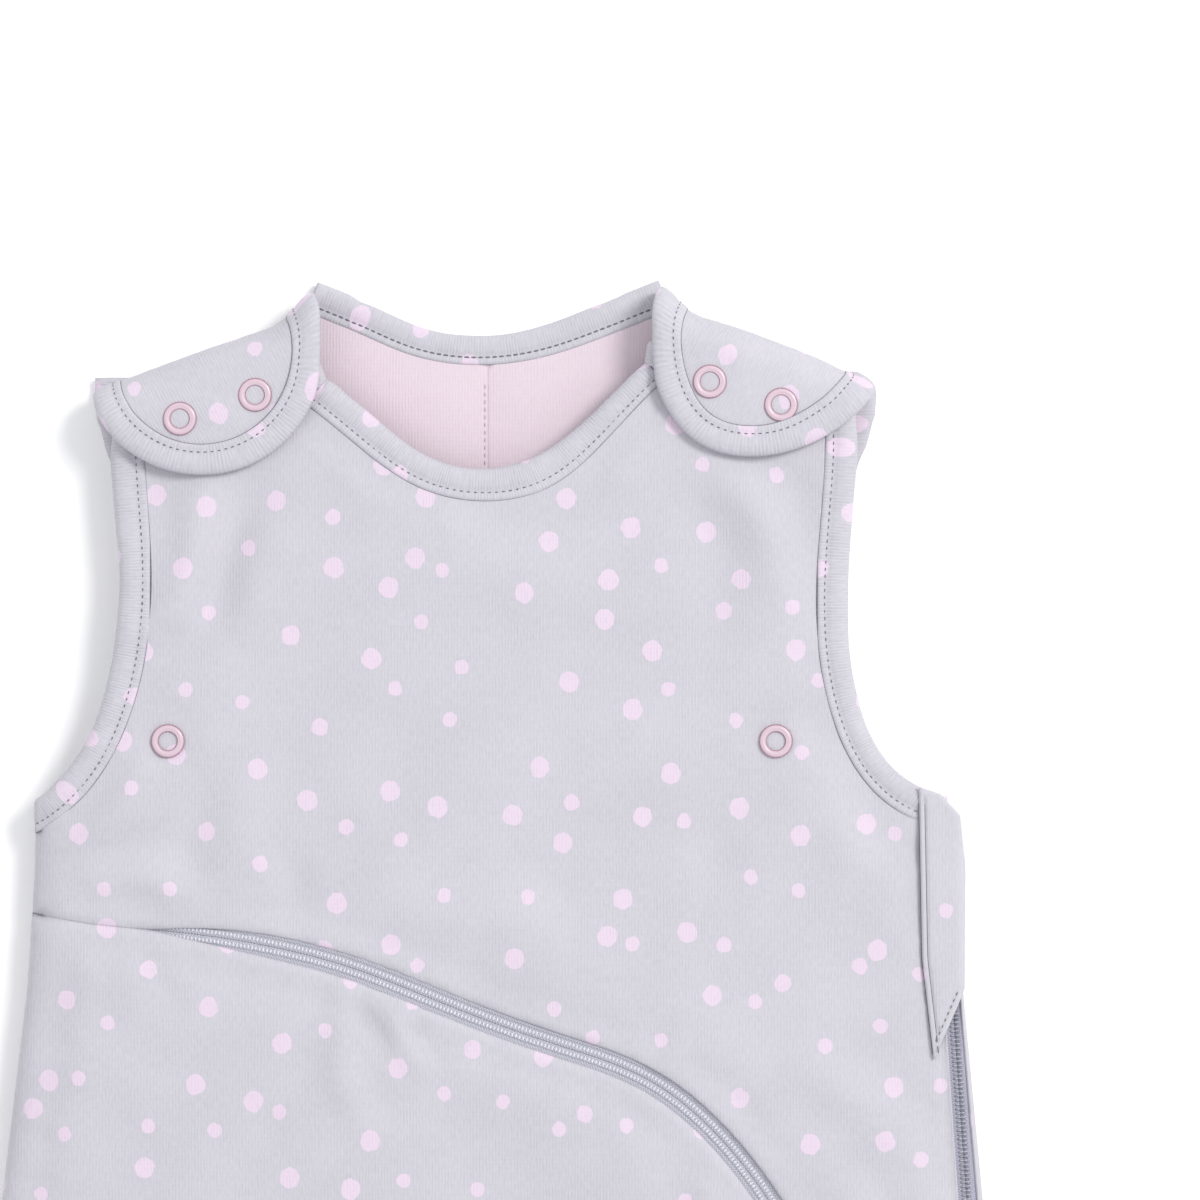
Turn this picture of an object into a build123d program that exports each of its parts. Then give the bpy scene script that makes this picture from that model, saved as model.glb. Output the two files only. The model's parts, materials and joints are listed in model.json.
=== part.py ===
"""Baby sleeping bag, size 70, lying flat on its back.

+Z is up, +Y runs from the hem to the neck, and +X is the side with the side zip.
The origin is the middle of the footprint, on the surface the bag lies on. Units are millimetres.
Each wall is outer jersey, wadding and lining. The front wall lies one body cavity above the back wall.
"""

import math
import os

from build123d import *

# Driving dimensions
BAG_LENGTH = 700.0
HEM_Y = -BAG_LENGTH / 2
HEM_HALF_WIDTH = 184.0
HEM_CORNER_R = 70.0
CORNER_Y = HEM_Y + HEM_CORNER_R
FAR = 400.0
SIDES = ((-1, "left"), (1, "right"))

JERSEY = 1.0
WADDING = 2.0
WALL = JERSEY + WADDING + JERSEY
CAVITY = 8.0
FRONT_Z = WALL + CAVITY
FRONT_TOP = FRONT_Z + WALL
BINDING_PROUD = 0.5
SEAM_W = 2.0
NECK_SPREAD = 4.0
SEAM_RISE = 20.0

ZIP_GAP = 7.2
ZIP_TAPER = 45.0
TAPE_THICK = 0.7
TAPE_W = 7.5
CHAIN_GAP = 1.2
COIL_W = 1.5
COIL_H = 1.5
LINING_BACK = 9.0
STOP_L = 1.5
STOP_R = 2.2
FRONT_ZIP_Z = FRONT_TOP - JERSEY - TAPE_THICK

FLAP_Z = FRONT_TOP + 2.0
FLAP_TOP = FLAP_Z + 2 * JERSEY
FOLD_WALL = 2.0
FOLD_CLEAR = 0.5
HINGE_Z = FLAP_Z - 0.3
FOLD_TOP = HINGE_Z - 0.3
FLAP_BINDING_W = 8.8
OPENING_GAP = 0.9
OPENING_TIP_CUT = 5.0
OPENING_END_CUT = 14.0

RING_R = 5.0
RING_HOLE_R = 3.0
RING_H = 0.9
SOCKET_R = 4.3
SOCKET_HOLE_R = 2.4
SOCKET_H = 1.1
STUD_FLANGE_R = 4.3
STUD_FLANGE_H = 0.6
STUD_R = 1.6
STUD_H = 1.7

SLIDER_L = 9.0
SLIDER_W = 6.4
SLIDER_PLATE = 1.0
SLIDER_CLEAR = 0.3
SLIDER_POST_W = 0.6
SLIDER_POST_L = 3.0
LUG_W = 1.6
LUG_L = 2.6
LUG_SKIN = 0.5
SLIDER_CORNER_R = 1.8
PULL_W = 4.4
PULL_T = 1.0
PULL_ARM_W = 1.0
PULL_CORNER_R = 1.4
PULL_CLEAR = 1.2
ARM_CLEAR = 0.3
ARM_SKIN = 0.1
FRONT_PULL_L = 22.0
SIDE_PULL_L = 14.0
PULL_PIN_R = 0.45
PIN_FIT = 0.06
PIN_RISE = 0.9

# Finished edges and the sewn edges of the bindings, in the XY plane, by side: -1 is left, 1 is right.
NECK_FRONT = [
    (-50.7, 325.5), (-36.3, 314.7), (-19.9, 301.9), (-0.9, 297.0),
    (17.1, 302.3), (33.6, 315.5), (49.2, 330.3),
]
NECK_FRONT_SEWN = [
    (-55.6, 317.6), (-36.3, 302.3), (-19.9, 291.6), (-0.1, 287.7),
    (17.1, 291.2), (33.6, 304.0), (54.0, 324.6),
]
NECK_BACK = [
    (-46.5, 350.0), (-40.5, 348.8), (-24.0, 341.4), (-3.4, 337.5),
    (17.1, 340.6), (33.6, 347.2), (43.5, 350.0),
]
NECK_BACK_SEWN = [
    (-51.0, 343.0), (-40.5, 339.3), (-24.0, 332.3), (-3.4, 329.0),
    (17.1, 331.5), (33.6, 336.9), (49.0, 343.0),
]
ARM = {
    -1: [
        (-113.2, 307.8), (-111.8, 281.7), (-110.4, 261.5),
        (-113.2, 237.4), (-120.4, 214.9), (-135.7, 198.4),
    ],
    1: [(111.8, 307.8), (109.3, 278.6), (108.4, 255.0), (111.6, 226.5), (121.4, 207.6), (136.0, 199.4)],
}
ARM_SEWN = {
    -1: [
        (-103.5, 305.0), (-101.9, 281.6), (-101.2, 258.0),
        (-105.1, 230.9), (-116.4, 205.2), (-135.9, 187.9),
    ],
    1: [(101.9, 306.5), (100.3, 278.6), (99.2, 258.0), (103.0, 226.0), (114.5, 202.5), (136.0, 189.8)],
}
SIDE = {
    -1: [(-136.5, 173.6), (-138.5, 141.5), (-145.7, 81.2), (-HEM_HALF_WIDTH, CORNER_Y)],
    1: [(143.0, 170.0), (143.3, 139.7), (149.1, 78.3), (HEM_HALF_WIDTH, CORNER_Y)],
}

# Shoulders: the fold line and the flap's free edge both run from the arm end to the neck end.
FOLD = {-1: [(-118.5, 319.4), (-52.5, 342.9)], 1: [(116.0, 321.4), (52.0, 345.1)]}
FLAP_EDGE = {
    -1: [(-117.5, 314.0), (-103.2, 299.6), (-84.0, 295.0), (-65.5, 301.0), (-52.5, 316.0), (-50.0, 336.0)],
    1: [(114.5, 316.0), (101.7, 306.8), (79.8, 300.5), (63.9, 304.3), (51.9, 318.8), (49.5, 338.0)],
}
BACK_STRAP_FOOT = {-1: (-118.9, 314.0), 1: (117.0, 315.0)}
STRAP_END = {-1: [(-110.5, 314.5), (-56.5, 333.5)], 1: [(109.5, 316.5), (56.0, 336.5)]}
FLAP_SNAPS = {-1: [(-91.8, 311.9), (-69.3, 319.0)], 1: [(88.1, 316.1), (66.8, 323.0)]}
ARM_SNAPS = [(-95.7, 215.3), (86.7, 215.3)]

# Front zip: a curve across the body, then a straight run to its stop near the hem.
ZIP_CURVE = [
    (-101.1, 158.6), (-72.0, 154.9), (-39.9, 146.9), (-11.1, 135.6), (19.8, 124.4),
    (48.3, 113.6), (67.5, 98.6), (86.0, 75.0), (101.0, 45.0), (109.5, 10.0), (112.0, -20.0),
]
ZIP_RUN_END = (124.0, -300.0)
ZIP_REST = 6.5
SEAM_LINE = [(-101.1, 158.6), (-118.0, 160.2), (-137.2, 163.2)]

# Side zip: one straight chain from under the guard to the hem corner.
SIDE_ZIP = [(137.2, 176.0), (167.6, -255.0)]
SIDE_ZIP_Z = FRONT_Z - TAPE_THICK
SIDE_SLOT_W = 3.8
SIDE_REACH = 50.0
SIDE_REST = 14.0
SIDE_ROOM_Y = 40.0
SIDE_FOLD_LOW_H = 4.0
GUARD = [
    (129.5, 201.6), (136.0, 199.4), (141.9, 193.0), (143.6, 178.0),
    (143.4, 141.0), (134.0, 119.6), (130.5, 150.0),
]
GUARD_THICK = 2.0


def frame_of(start, end):
    """Length, unit direction and left-hand normal of a line."""
    dx, dy = end[0] - start[0], end[1] - start[1]
    length = math.hypot(dx, dy)
    return length, (dx / length, dy / length), (-dy / length, dx / length)


def at(line, distance, side=0.0):
    """The point at a distance along a line, moved to its left when side is positive."""
    _, direction, normal = frame_of(*line)
    x = line[0][0] + direction[0] * distance + normal[0] * side
    y = line[0][1] + direction[1] * distance + normal[1] * side
    return (x, y)


def beside(points, side, taper=0.0):
    """A row of points moved to the left of travel when side is positive, growing from nothing over taper."""
    moved = []
    travelled = 0.0
    for i, (x, y) in enumerate(points):
        _, _, normal = frame_of(points[max(i - 1, 0)], points[min(i + 1, len(points) - 1)])
        if i:
            travelled += math.dist(points[i], points[i - 1])
        share = min(1.0, travelled / taper) if taper else 1.0
        width = side * share * (2 - share)
        moved.append((x + normal[0] * width, y + normal[1] * width))
    return moved


def region(*stretches):
    """The area inside stretches of outline, each ("curve", "line" or "arc", points), joined by lines."""
    with BuildSketch() as area:
        with BuildLine():
            last = stretches[-1][1][-1]
            for kind, points in stretches:
                if math.dist(last, points[0]) > 1e-6:
                    Line(last, points[0])
                if kind == "curve":
                    Spline(*points)
                elif kind == "arc":
                    ThreePointArc(*points)
                else:
                    Polyline(*points)
                last = points[-1]
        make_face()
    return area.sketch


def discs(radius, places):
    """Round areas at some places."""
    with BuildSketch() as area:
        with Locations(*places):
            Circle(radius)
    return area.sketch


def less(area, *tools):
    """An area without the tools."""
    with BuildSketch() as left:
        add(area)
        for tool in tools:
            add(tool, mode=Mode.SUBTRACT)
    return left.sketch


def shared(area, tool):
    """What two areas share."""
    with BuildSketch() as common:
        add(area)
        add(tool, mode=Mode.INTERSECT)
    return common.sketch


def slab(area, z, height):
    """A flat solid over an area."""
    with BuildPart() as solid:
        with BuildSketch(Plane.XY.offset(z)):
            add(area)
        extrude(amount=height)
    return solid.part


def group(*solids, joined=False):
    """Several solids as one part, left separate unless joined."""
    if joined:
        with BuildPart() as whole:
            for solid in solids:
                add(solid)
        return whole.part
    return Compound(children=[s for part in solids for s in part.solids()])


def save(solid, name):
    solid.label = name
    export_step(solid, f"parts/{name}.step")


def hem(inset=0.0):
    """The hem with its round corners, from right to left, moved in by inset."""
    r = HEM_CORNER_R - inset
    cx, cy = HEM_HALF_WIDTH - HEM_CORNER_R, CORNER_Y
    k = r * math.sqrt(0.5)
    right = [(cx + r, cy), (cx + k, cy - k), (cx, cy - r)]
    left = [(-x, y) for x, y in reversed(right)]
    return [("arc", right), ("arc", left)]


def wall_area(neck, end_left, end_right):
    """A wall inside its finished edges, with the two straps as given."""
    return region(
        ("curve", neck),
        ("line", end_right),
        ("curve", ARM[1]),
        ("line", SIDE[1]),
        *hem(),
        ("line", list(reversed(SIDE[-1]))),
        ("curve", list(reversed(ARM[-1]))),
        ("line", end_left),
    )


def arm_tool(side):
    """Everything outside the sewn edge of an armhole's binding."""
    edge = ARM_SEWN[side]
    out = side * FAR
    return region(("curve", edge), ("line", [(out, edge[-1][1]), (out, FAR), (edge[0][0], FAR)]))


def neck_tool(sewn):
    """Everything above the sewn edge of a neck binding, between the straps."""
    left, right = sewn[0], sewn[-1]
    far_left, far_right = left[0] - NECK_SPREAD, right[0] + NECK_SPREAD
    up_right = [(far_right, right[1] + SEAM_RISE), (far_right, FAR)]
    down_left = [(far_left, FAR), (far_left, left[1] + SEAM_RISE)]
    return region(("curve", sewn), ("line", up_right + down_left))


front_area = wall_area(NECK_FRONT, STRAP_END[-1], list(reversed(STRAP_END[1])))
back_area = wall_area(NECK_BACK, [BACK_STRAP_FOOT[-1], *FOLD[-1]], [*reversed(FOLD[1]), BACK_STRAP_FOOT[1]])
arm_tools = {s: arm_tool(s) for s in (-1, 1)}
neck_front_tool = neck_tool(NECK_FRONT_SEWN)
neck_back_tool = neck_tool(NECK_BACK_SEWN)
front_panel = less(front_area, arm_tools[-1], arm_tools[1], neck_front_tool)
back_panel = less(back_area, arm_tools[-1], arm_tools[1], neck_back_tool)

# The front zip's slot divides the front into an upper and a lower panel
zip_run = (ZIP_CURVE[-1], ZIP_RUN_END)
run_length, run_dir, _ = frame_of(*zip_run)
slot_up = beside(ZIP_CURVE, ZIP_GAP / 2, ZIP_TAPER)
slot_low = beside(ZIP_CURVE, -ZIP_GAP / 2, ZIP_TAPER)
end_up = at(zip_run, run_length, ZIP_GAP / 2)
end_low = at(zip_run, run_length, -ZIP_GAP / 2)
seam_end = (ZIP_RUN_END[0], -FAR)
seam_start = [(-FAR, SEAM_LINE[-1][1]), *reversed(SEAM_LINE)]
upper_tool = region(
    ("curve", slot_up),
    ("line", [end_up, ZIP_RUN_END, seam_end, (FAR, -FAR), (FAR, FAR), (-FAR, FAR), *seam_start]),
)
lower_tool = region(
    ("curve", slot_low),
    ("line", [end_low, ZIP_RUN_END, seam_end, (-FAR, -FAR), *seam_start]),
)


def zip_band(near, far):
    """A strip along the front zip to its stop, between two distances to the left of its centre line."""
    ends = [at(zip_run, run_length - STOP_L, side) for side in (near, far)]
    back = list(reversed(beside(ZIP_CURVE, far)))
    return region(("curve", beside(ZIP_CURVE, near)), ("line", ends), ("curve", back))


lining_slot = region(
    ("curve", beside(ZIP_CURVE, LINING_BACK)),
    ("line", [at(zip_run, run_length + LINING_BACK, side) for side in (LINING_BACK, -LINING_BACK)]),
    ("curve", list(reversed(beside(ZIP_CURVE, -LINING_BACK)))),
)

# The part of the lower panel that folds open, hinged on the straight line between the zip's two ends
opening_line = (ZIP_CURVE[0], at(zip_run, run_length - ZIP_REST - SLIDER_L))
opening_length, opening_dir, _ = frame_of(*opening_line)


def opening_tool(near, clear):
    """The strip across the front, square to the fold line, in which cloth folds open."""
    start, end = OPENING_TIP_CUT - clear, opening_length - OPENING_END_CUT + clear
    corners = [(start, near), (start, FAR), (end, FAR), (end, near)]
    return region(("line", [at(opening_line, distance, side) for distance, side in corners]))


opening = opening_tool(OPENING_GAP / 2, 0.0)
opening_clear = opening_tool(-OPENING_GAP / 2, 2 * OPENING_GAP)

# The side zip's slot in the front wall
side_length, side_dir, _ = frame_of(*SIDE_ZIP)


def side_band(near, far, start, end):
    """A strip along the side zip from start to end, between two distances to the left of its chain."""
    corners = [(start, near), (end, near), (end, far), (start, far)]
    return region(("line", [at(SIDE_ZIP, distance, side) for distance, side in corners]))


side_slot = side_band(-SIDE_SLOT_W, SIDE_REACH, -SLIDER_W, side_length + STOP_L)


def panels():
    """The three layers of each wall."""
    save(slab(less(back_panel, discs(RING_R, ARM_SNAPS)), 0, JERSEY), "back_outer_panel")
    save(slab(back_panel, JERSEY, WADDING), "back_wadding")
    for side, name in SIDES:
        half = region(("line", [(0, -FAR), (side * FAR, -FAR), (side * FAR, FAR), (0, FAR)]))
        save(slab(shared(back_panel, half), JERSEY + WADDING, JERSEY), f"back_lining_{name}")

    for layer, z, height in (
        ("lining", FRONT_Z, JERSEY),
        ("wadding", FRONT_Z + JERSEY, WADDING),
        ("outer", FRONT_TOP - JERSEY, JERSEY),
    ):
        sheet = less(front_panel, side_slot)
        upper = shared(sheet, upper_tool)
        lower = shared(sheet, lower_tool)
        if layer != "outer":
            upper = less(upper, lining_slot)
            lower = less(lower, lining_slot)
        save(slab(upper, z, height), f"front_upper_{layer}")
        save(slab(less(lower, opening_clear), z, height), f"front_lower_{layer}")
        save(slab(shared(lower, opening), z, height), f"opening_flap_{layer}")


def bindings():
    """The strips that bind the neck and the armholes of both walls."""
    bound = WALL + BINDING_PROUD
    front_bound_z = FRONT_Z - BINDING_PROUD / 2
    front_neck = less(shared(front_area, neck_front_tool), arm_tools[-1], arm_tools[1])
    save(slab(front_neck, front_bound_z, bound), "front_neck_binding")
    save(slab(shared(back_area, neck_back_tool), 0, bound), "back_neck_binding")
    for side, name in SIDES:
        front_edge = less(shared(front_area, arm_tools[side]), side_slot)
        save(slab(front_edge, front_bound_z, bound), f"{name}_front_armhole_binding")
        save(slab(shared(back_area, arm_tools[side]), 0, bound), f"{name}_back_armhole_binding")


def seams():
    """The cloth that joins the two walls at the left side, outside the side zip, and round the hem."""
    left = region(("line", SIDE[-1]), ("line", [(x + SEAM_W, y) for x, y in reversed(SIDE[-1])]))
    right = region(("line", SIDE[1]), ("line", [(x - SEAM_W, y) for x, y in reversed(SIDE[1])]))
    below = region(("line", [(0, SIDE_ROOM_Y), (FAR, SIDE_ROOM_Y), (FAR, -FAR), (0, -FAR)]))
    inner = [(kind, list(reversed(points))) for kind, points in reversed(hem(SEAM_W))]
    save(slab(left, WALL, CAVITY), "left_side_seam")
    high = slab(shared(right, below), WALL, CAVITY - TAPE_THICK)
    save(group(slab(right, WALL, SIDE_FOLD_LOW_H), high, joined=True), "right_side_fold")
    save(slab(region(*hem(), *inner), WALL, CAVITY), "hem_seam")


def rings(places, z):
    """The prong rings of some snaps."""
    return slab(less(discs(RING_R, places), discs(RING_HOLE_R, places)), z, RING_H)


def sockets(places, z):
    """The sockets of some snaps, with the hole that a stud enters."""
    return slab(less(discs(SOCKET_R, places), discs(SOCKET_HOLE_R, places)), z, SOCKET_H)


def studs(places, z):
    """The studs of some snaps, each a post on a flange."""
    flanges = slab(discs(STUD_FLANGE_R, places), z, STUD_FLANGE_H)
    return group(flanges, slab(discs(STUD_R, places), z, STUD_H), joined=True)


def shoulder(side, name):
    """One shoulder: the fold and the studs that stay, and the flap with its binding, rings and sockets."""
    line = FOLD[side]
    length = frame_of(*line)[0]
    fold = region(("line", [*line, at(line, length, side * FOLD_WALL), at(line, 0, side * FOLD_WALL)]))
    foot = WALL + BINDING_PROUD
    save(slab(fold, foot, FOLD_TOP - foot), f"{name}_shoulder_fold")

    root = [at(line, length, side * FOLD_CLEAR), at(line, 0, side * FOLD_CLEAR)]
    whole = region(("curve", FLAP_EDGE[side]), ("line", root))
    sewn_ends = [at(line, along, -side * FOLD_CLEAR) for along in (FLAP_BINDING_W, length - FLAP_BINDING_W)]
    sewn = beside(FLAP_EDGE[side], -side * FLAP_BINDING_W)[1:-1]
    inner = region(("curve", [sewn_ends[0], *sewn, sewn_ends[1]]))
    field = shared(whole, inner)
    places = FLAP_SNAPS[side]
    save(slab(field, FLAP_Z + JERSEY, JERSEY), f"{name}_flap_outer")
    save(slab(field, FLAP_Z, JERSEY), f"{name}_flap_lining")
    binding_z = FLAP_Z - BINDING_PROUD / 4
    save(slab(less(whole, inner), binding_z, FLAP_TOP - FLAP_Z + BINDING_PROUD), f"{name}_flap_binding")
    save(rings(places, FLAP_TOP), f"{name}_flap_snap_rings")
    save(sockets(places, FLAP_Z - SOCKET_H), f"{name}_flap_snap_sockets")
    save(studs(places, FRONT_TOP), f"{name}_strap_snap_studs")
    save(rings(places, FRONT_Z - RING_H), f"{name}_strap_snap_rings")


def armhole_snaps():
    """The open snaps that narrow the armholes: sockets in the front wall, studs in the back."""
    save(rings(ARM_SNAPS, FRONT_TOP), "armhole_front_snap_rings")
    save(sockets(ARM_SNAPS, FRONT_Z - SOCKET_H), "armhole_snap_sockets")
    save(rings(ARM_SNAPS, JERSEY - RING_H), "armhole_back_snap_rings")
    save(studs(ARM_SNAPS, WALL), "armhole_snap_studs")


def front_zip():
    """The front zip's tapes, coils and stops. The lower ones fold open with the cloth they are sewn to."""
    tape_z = FRONT_ZIP_Z
    coil_z = FRONT_ZIP_Z - COIL_H
    near = CHAIN_GAP / 2
    for name, far, z, height in (
        ("tape", TAPE_W, tape_z, TAPE_THICK),
        ("coil", near + COIL_W, coil_z, COIL_H),
    ):
        upper = zip_band(near, far)
        lower = zip_band(-near, -far)
        save(slab(upper, z, height), f"front_zip_upper_{name}")
        save(slab(shared(lower, opening), z, height), f"opening_flap_zip_{name}")
        save(slab(less(lower, opening_clear), z, height), f"front_zip_lower_{name}_ends")
    stop_from = run_length - STOP_L
    corners = [(stop_from, STOP_R), (run_length, STOP_R), (run_length, -STOP_R), (stop_from, -STOP_R)]
    stop = region(("line", [at(zip_run, distance, side) for distance, side in corners]))
    save(slab(stop, coil_z, COIL_H + TAPE_THICK), "front_zip_bottom_stop")


def side_zip():
    """The side zip's tapes, coils and stops, the guard over its top, and the cloth edge outside it."""
    near = CHAIN_GAP / 2
    end = side_length - STOP_L
    coil_z = SIDE_ZIP_Z - COIL_H
    save(slab(side_band(-near, -TAPE_W, 0, end), SIDE_ZIP_Z, TAPE_THICK), "side_zip_front_tape")
    save(slab(side_band(-near, -near - COIL_W, 0, end), coil_z, COIL_H), "side_zip_front_coil")
    back_edge = shared(side_band(near, SIDE_REACH, 0, end), back_area)
    save(slab(back_edge, SIDE_ZIP_Z, TAPE_THICK), "side_zip_back_tape")
    save(slab(side_band(near, near + COIL_W, 0, end), coil_z, COIL_H), "side_zip_back_coil")
    stop = side_band(-STOP_R, STOP_R, end, side_length)
    save(slab(stop, coil_z, COIL_H + TAPE_THICK), "side_zip_bottom_stop")
    save(slab(region(("line", GUARD)), FRONT_TOP + BINDING_PROUD / 2, GUARD_THICK), "side_zip_guard")


def slider_and_pull(line, distance, surface_z, coil_bottom, pull_length, name):
    """A slider round a chain, and a pull on a pin through the slider's lug, lying along the chain."""
    _, direction, _ = frame_of(*line)
    spot = at(line, distance)
    top_z = surface_z + SLIDER_CLEAR
    lug_z = top_z + SLIDER_PLATE
    floor_z = coil_bottom - SLIDER_CLEAR - SLIDER_PLATE
    pin_z = lug_z + PIN_RISE
    lug_top = pin_z + PULL_PIN_R + PIN_FIT + LUG_SKIN
    along = Plane(origin=(*spot, 0), x_dir=(*direction, 0), z_dir=(0, 0, 1))
    across = Plane(origin=(*spot, pin_z), x_dir=along.x_dir, z_dir=along.y_dir)

    with BuildPart() as body:
        with BuildSketch(along.offset(top_z), along.offset(floor_z)):
            RectangleRounded(SLIDER_L, SLIDER_W, SLIDER_CORNER_R)
        extrude(amount=SLIDER_PLATE)
        with BuildSketch(along.offset(floor_z + SLIDER_PLATE)):
            Rectangle(SLIDER_POST_L, SLIDER_POST_W)
        extrude(amount=top_z - floor_z - SLIDER_PLATE)
        with BuildSketch(along.offset(lug_z)):
            Rectangle(LUG_L, LUG_W)
        extrude(amount=lug_top - lug_z)
        with BuildSketch(across):
            Circle(PULL_PIN_R + PIN_FIT)
        extrude(amount=LUG_W, both=True, mode=Mode.SUBTRACT)
    save(body.part, f"{name}_slider")

    plate_start = LUG_L / 2 + PULL_CLEAR
    plate_length = pull_length - plate_start
    arm_start = -PULL_T / 2 - ARM_SKIN
    arm_end = plate_start + PULL_CORNER_R
    arm_y = LUG_W / 2 + ARM_CLEAR + PULL_ARM_W / 2
    with BuildPart() as pull:
        with BuildSketch(along.offset(pin_z - PULL_T / 2)):
            with Locations((plate_start + plate_length / 2, 0)):
                RectangleRounded(plate_length, PULL_W, PULL_CORNER_R)
            with Locations(*[((arm_start + arm_end) / 2, y) for y in (arm_y, -arm_y)]):
                Rectangle(arm_end - arm_start, PULL_ARM_W)
        extrude(amount=PULL_T)
        with BuildSketch(across):
            Circle(PULL_PIN_R)
        extrude(amount=arm_y, both=True)
    save(pull.part, f"{name}_pull")
    print(name, "pin at", spot, pin_z, "zip direction", direction)


def main():
    os.makedirs("parts", exist_ok=True)
    panels()
    bindings()
    seams()
    for side, name in SIDES:
        shoulder(side, name)
    armhole_snaps()
    front_zip()
    side_zip()
    front_rest = run_length - ZIP_REST
    slider_and_pull(zip_run, front_rest, FRONT_TOP, FRONT_ZIP_Z - COIL_H, FRONT_PULL_L, "front_zip")
    side_tape_top = SIDE_ZIP_Z + TAPE_THICK
    slider_and_pull(SIDE_ZIP, SIDE_REST, side_tape_top, SIDE_ZIP_Z - COIL_H, SIDE_PULL_L, "side_zip")
    print("front zip run", run_length, "side zip", side_length, "opening fold", opening_line)


main()
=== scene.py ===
"""The looks of a baby sleeping bag, round the frame: padded jersey, bound edges, ring snaps and two zips."""

import json
import math

import bpy
import numpy as np
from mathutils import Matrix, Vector, noise
from mathutils.geometry import delaunay_2d_cdt
from mathutils.kdtree import KDTree


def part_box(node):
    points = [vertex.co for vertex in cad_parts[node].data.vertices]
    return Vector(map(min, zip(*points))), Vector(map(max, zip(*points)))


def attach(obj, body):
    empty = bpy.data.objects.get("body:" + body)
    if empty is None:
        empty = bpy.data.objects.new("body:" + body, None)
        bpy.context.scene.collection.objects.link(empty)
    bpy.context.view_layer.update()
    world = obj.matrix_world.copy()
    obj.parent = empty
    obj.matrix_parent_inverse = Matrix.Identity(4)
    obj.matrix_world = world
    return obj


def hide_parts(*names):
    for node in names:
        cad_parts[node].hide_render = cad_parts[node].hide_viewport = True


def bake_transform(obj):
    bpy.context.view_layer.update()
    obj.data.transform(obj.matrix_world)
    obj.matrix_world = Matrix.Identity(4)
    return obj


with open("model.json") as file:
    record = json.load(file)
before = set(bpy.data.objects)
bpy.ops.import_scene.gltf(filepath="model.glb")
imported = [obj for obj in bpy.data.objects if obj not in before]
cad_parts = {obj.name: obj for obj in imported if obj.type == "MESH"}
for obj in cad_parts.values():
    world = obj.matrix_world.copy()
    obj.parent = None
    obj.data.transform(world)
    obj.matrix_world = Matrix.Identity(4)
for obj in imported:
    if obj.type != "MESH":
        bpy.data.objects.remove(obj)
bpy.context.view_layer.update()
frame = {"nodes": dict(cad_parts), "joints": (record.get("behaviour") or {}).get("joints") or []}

MM = 0.001
SIDES = ((-1, "left"), (1, "right"))

# Heights of the CAD walls
BACK_MID = (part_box("back_outer_panel")[0].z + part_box("back_lining_left")[1].z) / 2
FRONT_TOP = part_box("front_upper_outer")[1].z
FRONT_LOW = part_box("front_upper_lining")[0].z
FLAP_MID = (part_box("left_flap_lining")[0].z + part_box("left_flap_outer")[1].z) / 2
ZIP_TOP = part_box("front_zip_upper_tape")[1].z
SIDE_ZIP_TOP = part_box("side_zip_front_tape")[1].z
JOINTS = {joint["name"]: joint for joint in frame["joints"]}

# Cloth
GRID = 3.2 * MM
BACK_GRID = 5.0 * MM
ROLL_R = 11.0 * MM
EDGE_Z = 8.0 * MM
STITCH_PITCH = 2.1 * MM
STITCH_AT = 0.22
FOLD_REACH = 18.5 * MM
KNIT_WALE = 0.95 * MM
KNIT_COURSE = 1.3 * MM

# Printed dots: how far apart, how much their rows slant, and their radius
DOT_SPACING = 19.5 * MM
DOT_SLANT = 0.42
DOT_SMALL, DOT_LARGE = 2.15 * MM, 3.0 * MM

# The camera looks straight down on the upper part
LENS = 160
SENSOR = 36
VIEW_WIDTH = 0.36
VIEW_CENTRE = (0.0339, 0.2576)
FLOOR_REACH = 6.0


# Camera, light and stage

def placed(name, data):
    """A new object in the scene."""
    made = bpy.data.objects.new(name, data)
    bpy.context.scene.collection.objects.link(made)
    return made


def camera():
    data = bpy.data.cameras.new("camera")
    data.lens = LENS
    data.sensor_width = SENSOR
    cam = placed("camera", data)
    cam.location = (*VIEW_CENTRE, FRONT_TOP + VIEW_WIDTH * LENS / SENSOR)
    bpy.context.scene.camera = cam


def area_light(name, place, target, size, power, colour):
    data = bpy.data.lights.new(name, "AREA")
    data.shape = "DISK"
    data.size = size
    data.energy = power
    data.color = colour
    light = placed(name, data)
    light.location = place
    light.rotation_euler = (Vector(target) - Vector(place)).to_track_quat("-Z", "Y").to_euler()


def stage():
    """A white floor, a bright even sky and two soft lamps."""
    scene = bpy.context.scene
    scene.view_settings.view_transform = "Standard"
    world = bpy.data.worlds.new("studio")
    world.use_nodes = True
    sky = world.node_tree.nodes["Background"].inputs
    sky["Color"].default_value = (0.97, 0.98, 1.0, 1)
    sky["Strength"].default_value = 0.84
    scene.world = world
    area_light("key", (1.6, 1.3, 2.2), (0.0, 0.1, 0), 1.0, 50, (1, 0.985, 0.965))
    area_light("fill", (-0.9, 0.2, 1.6), (0, 0.1, 0), 1.2, 3, (0.96, 0.975, 1))
    mesh = bpy.data.meshes.new("floor")
    corners = [(FLOOR_REACH * x, FLOOR_REACH * y, 0) for x, y in ((-1, -1), (1, -1), (1, 1), (-1, 1))]
    mesh.from_pydata(corners, [], [(0, 1, 2, 3)])
    material = bpy.data.materials.new("floor")
    material.use_nodes = True
    paint = material.node_tree.nodes["Principled BSDF"].inputs
    paint["Base Color"].default_value = (0.96, 0.96, 0.96, 1)
    paint["Roughness"].default_value = 0.9
    paint["Specular IOR Level"].default_value = 0.1
    mesh.materials.append(material)
    placed("floor", mesh)


# Materials

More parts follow.
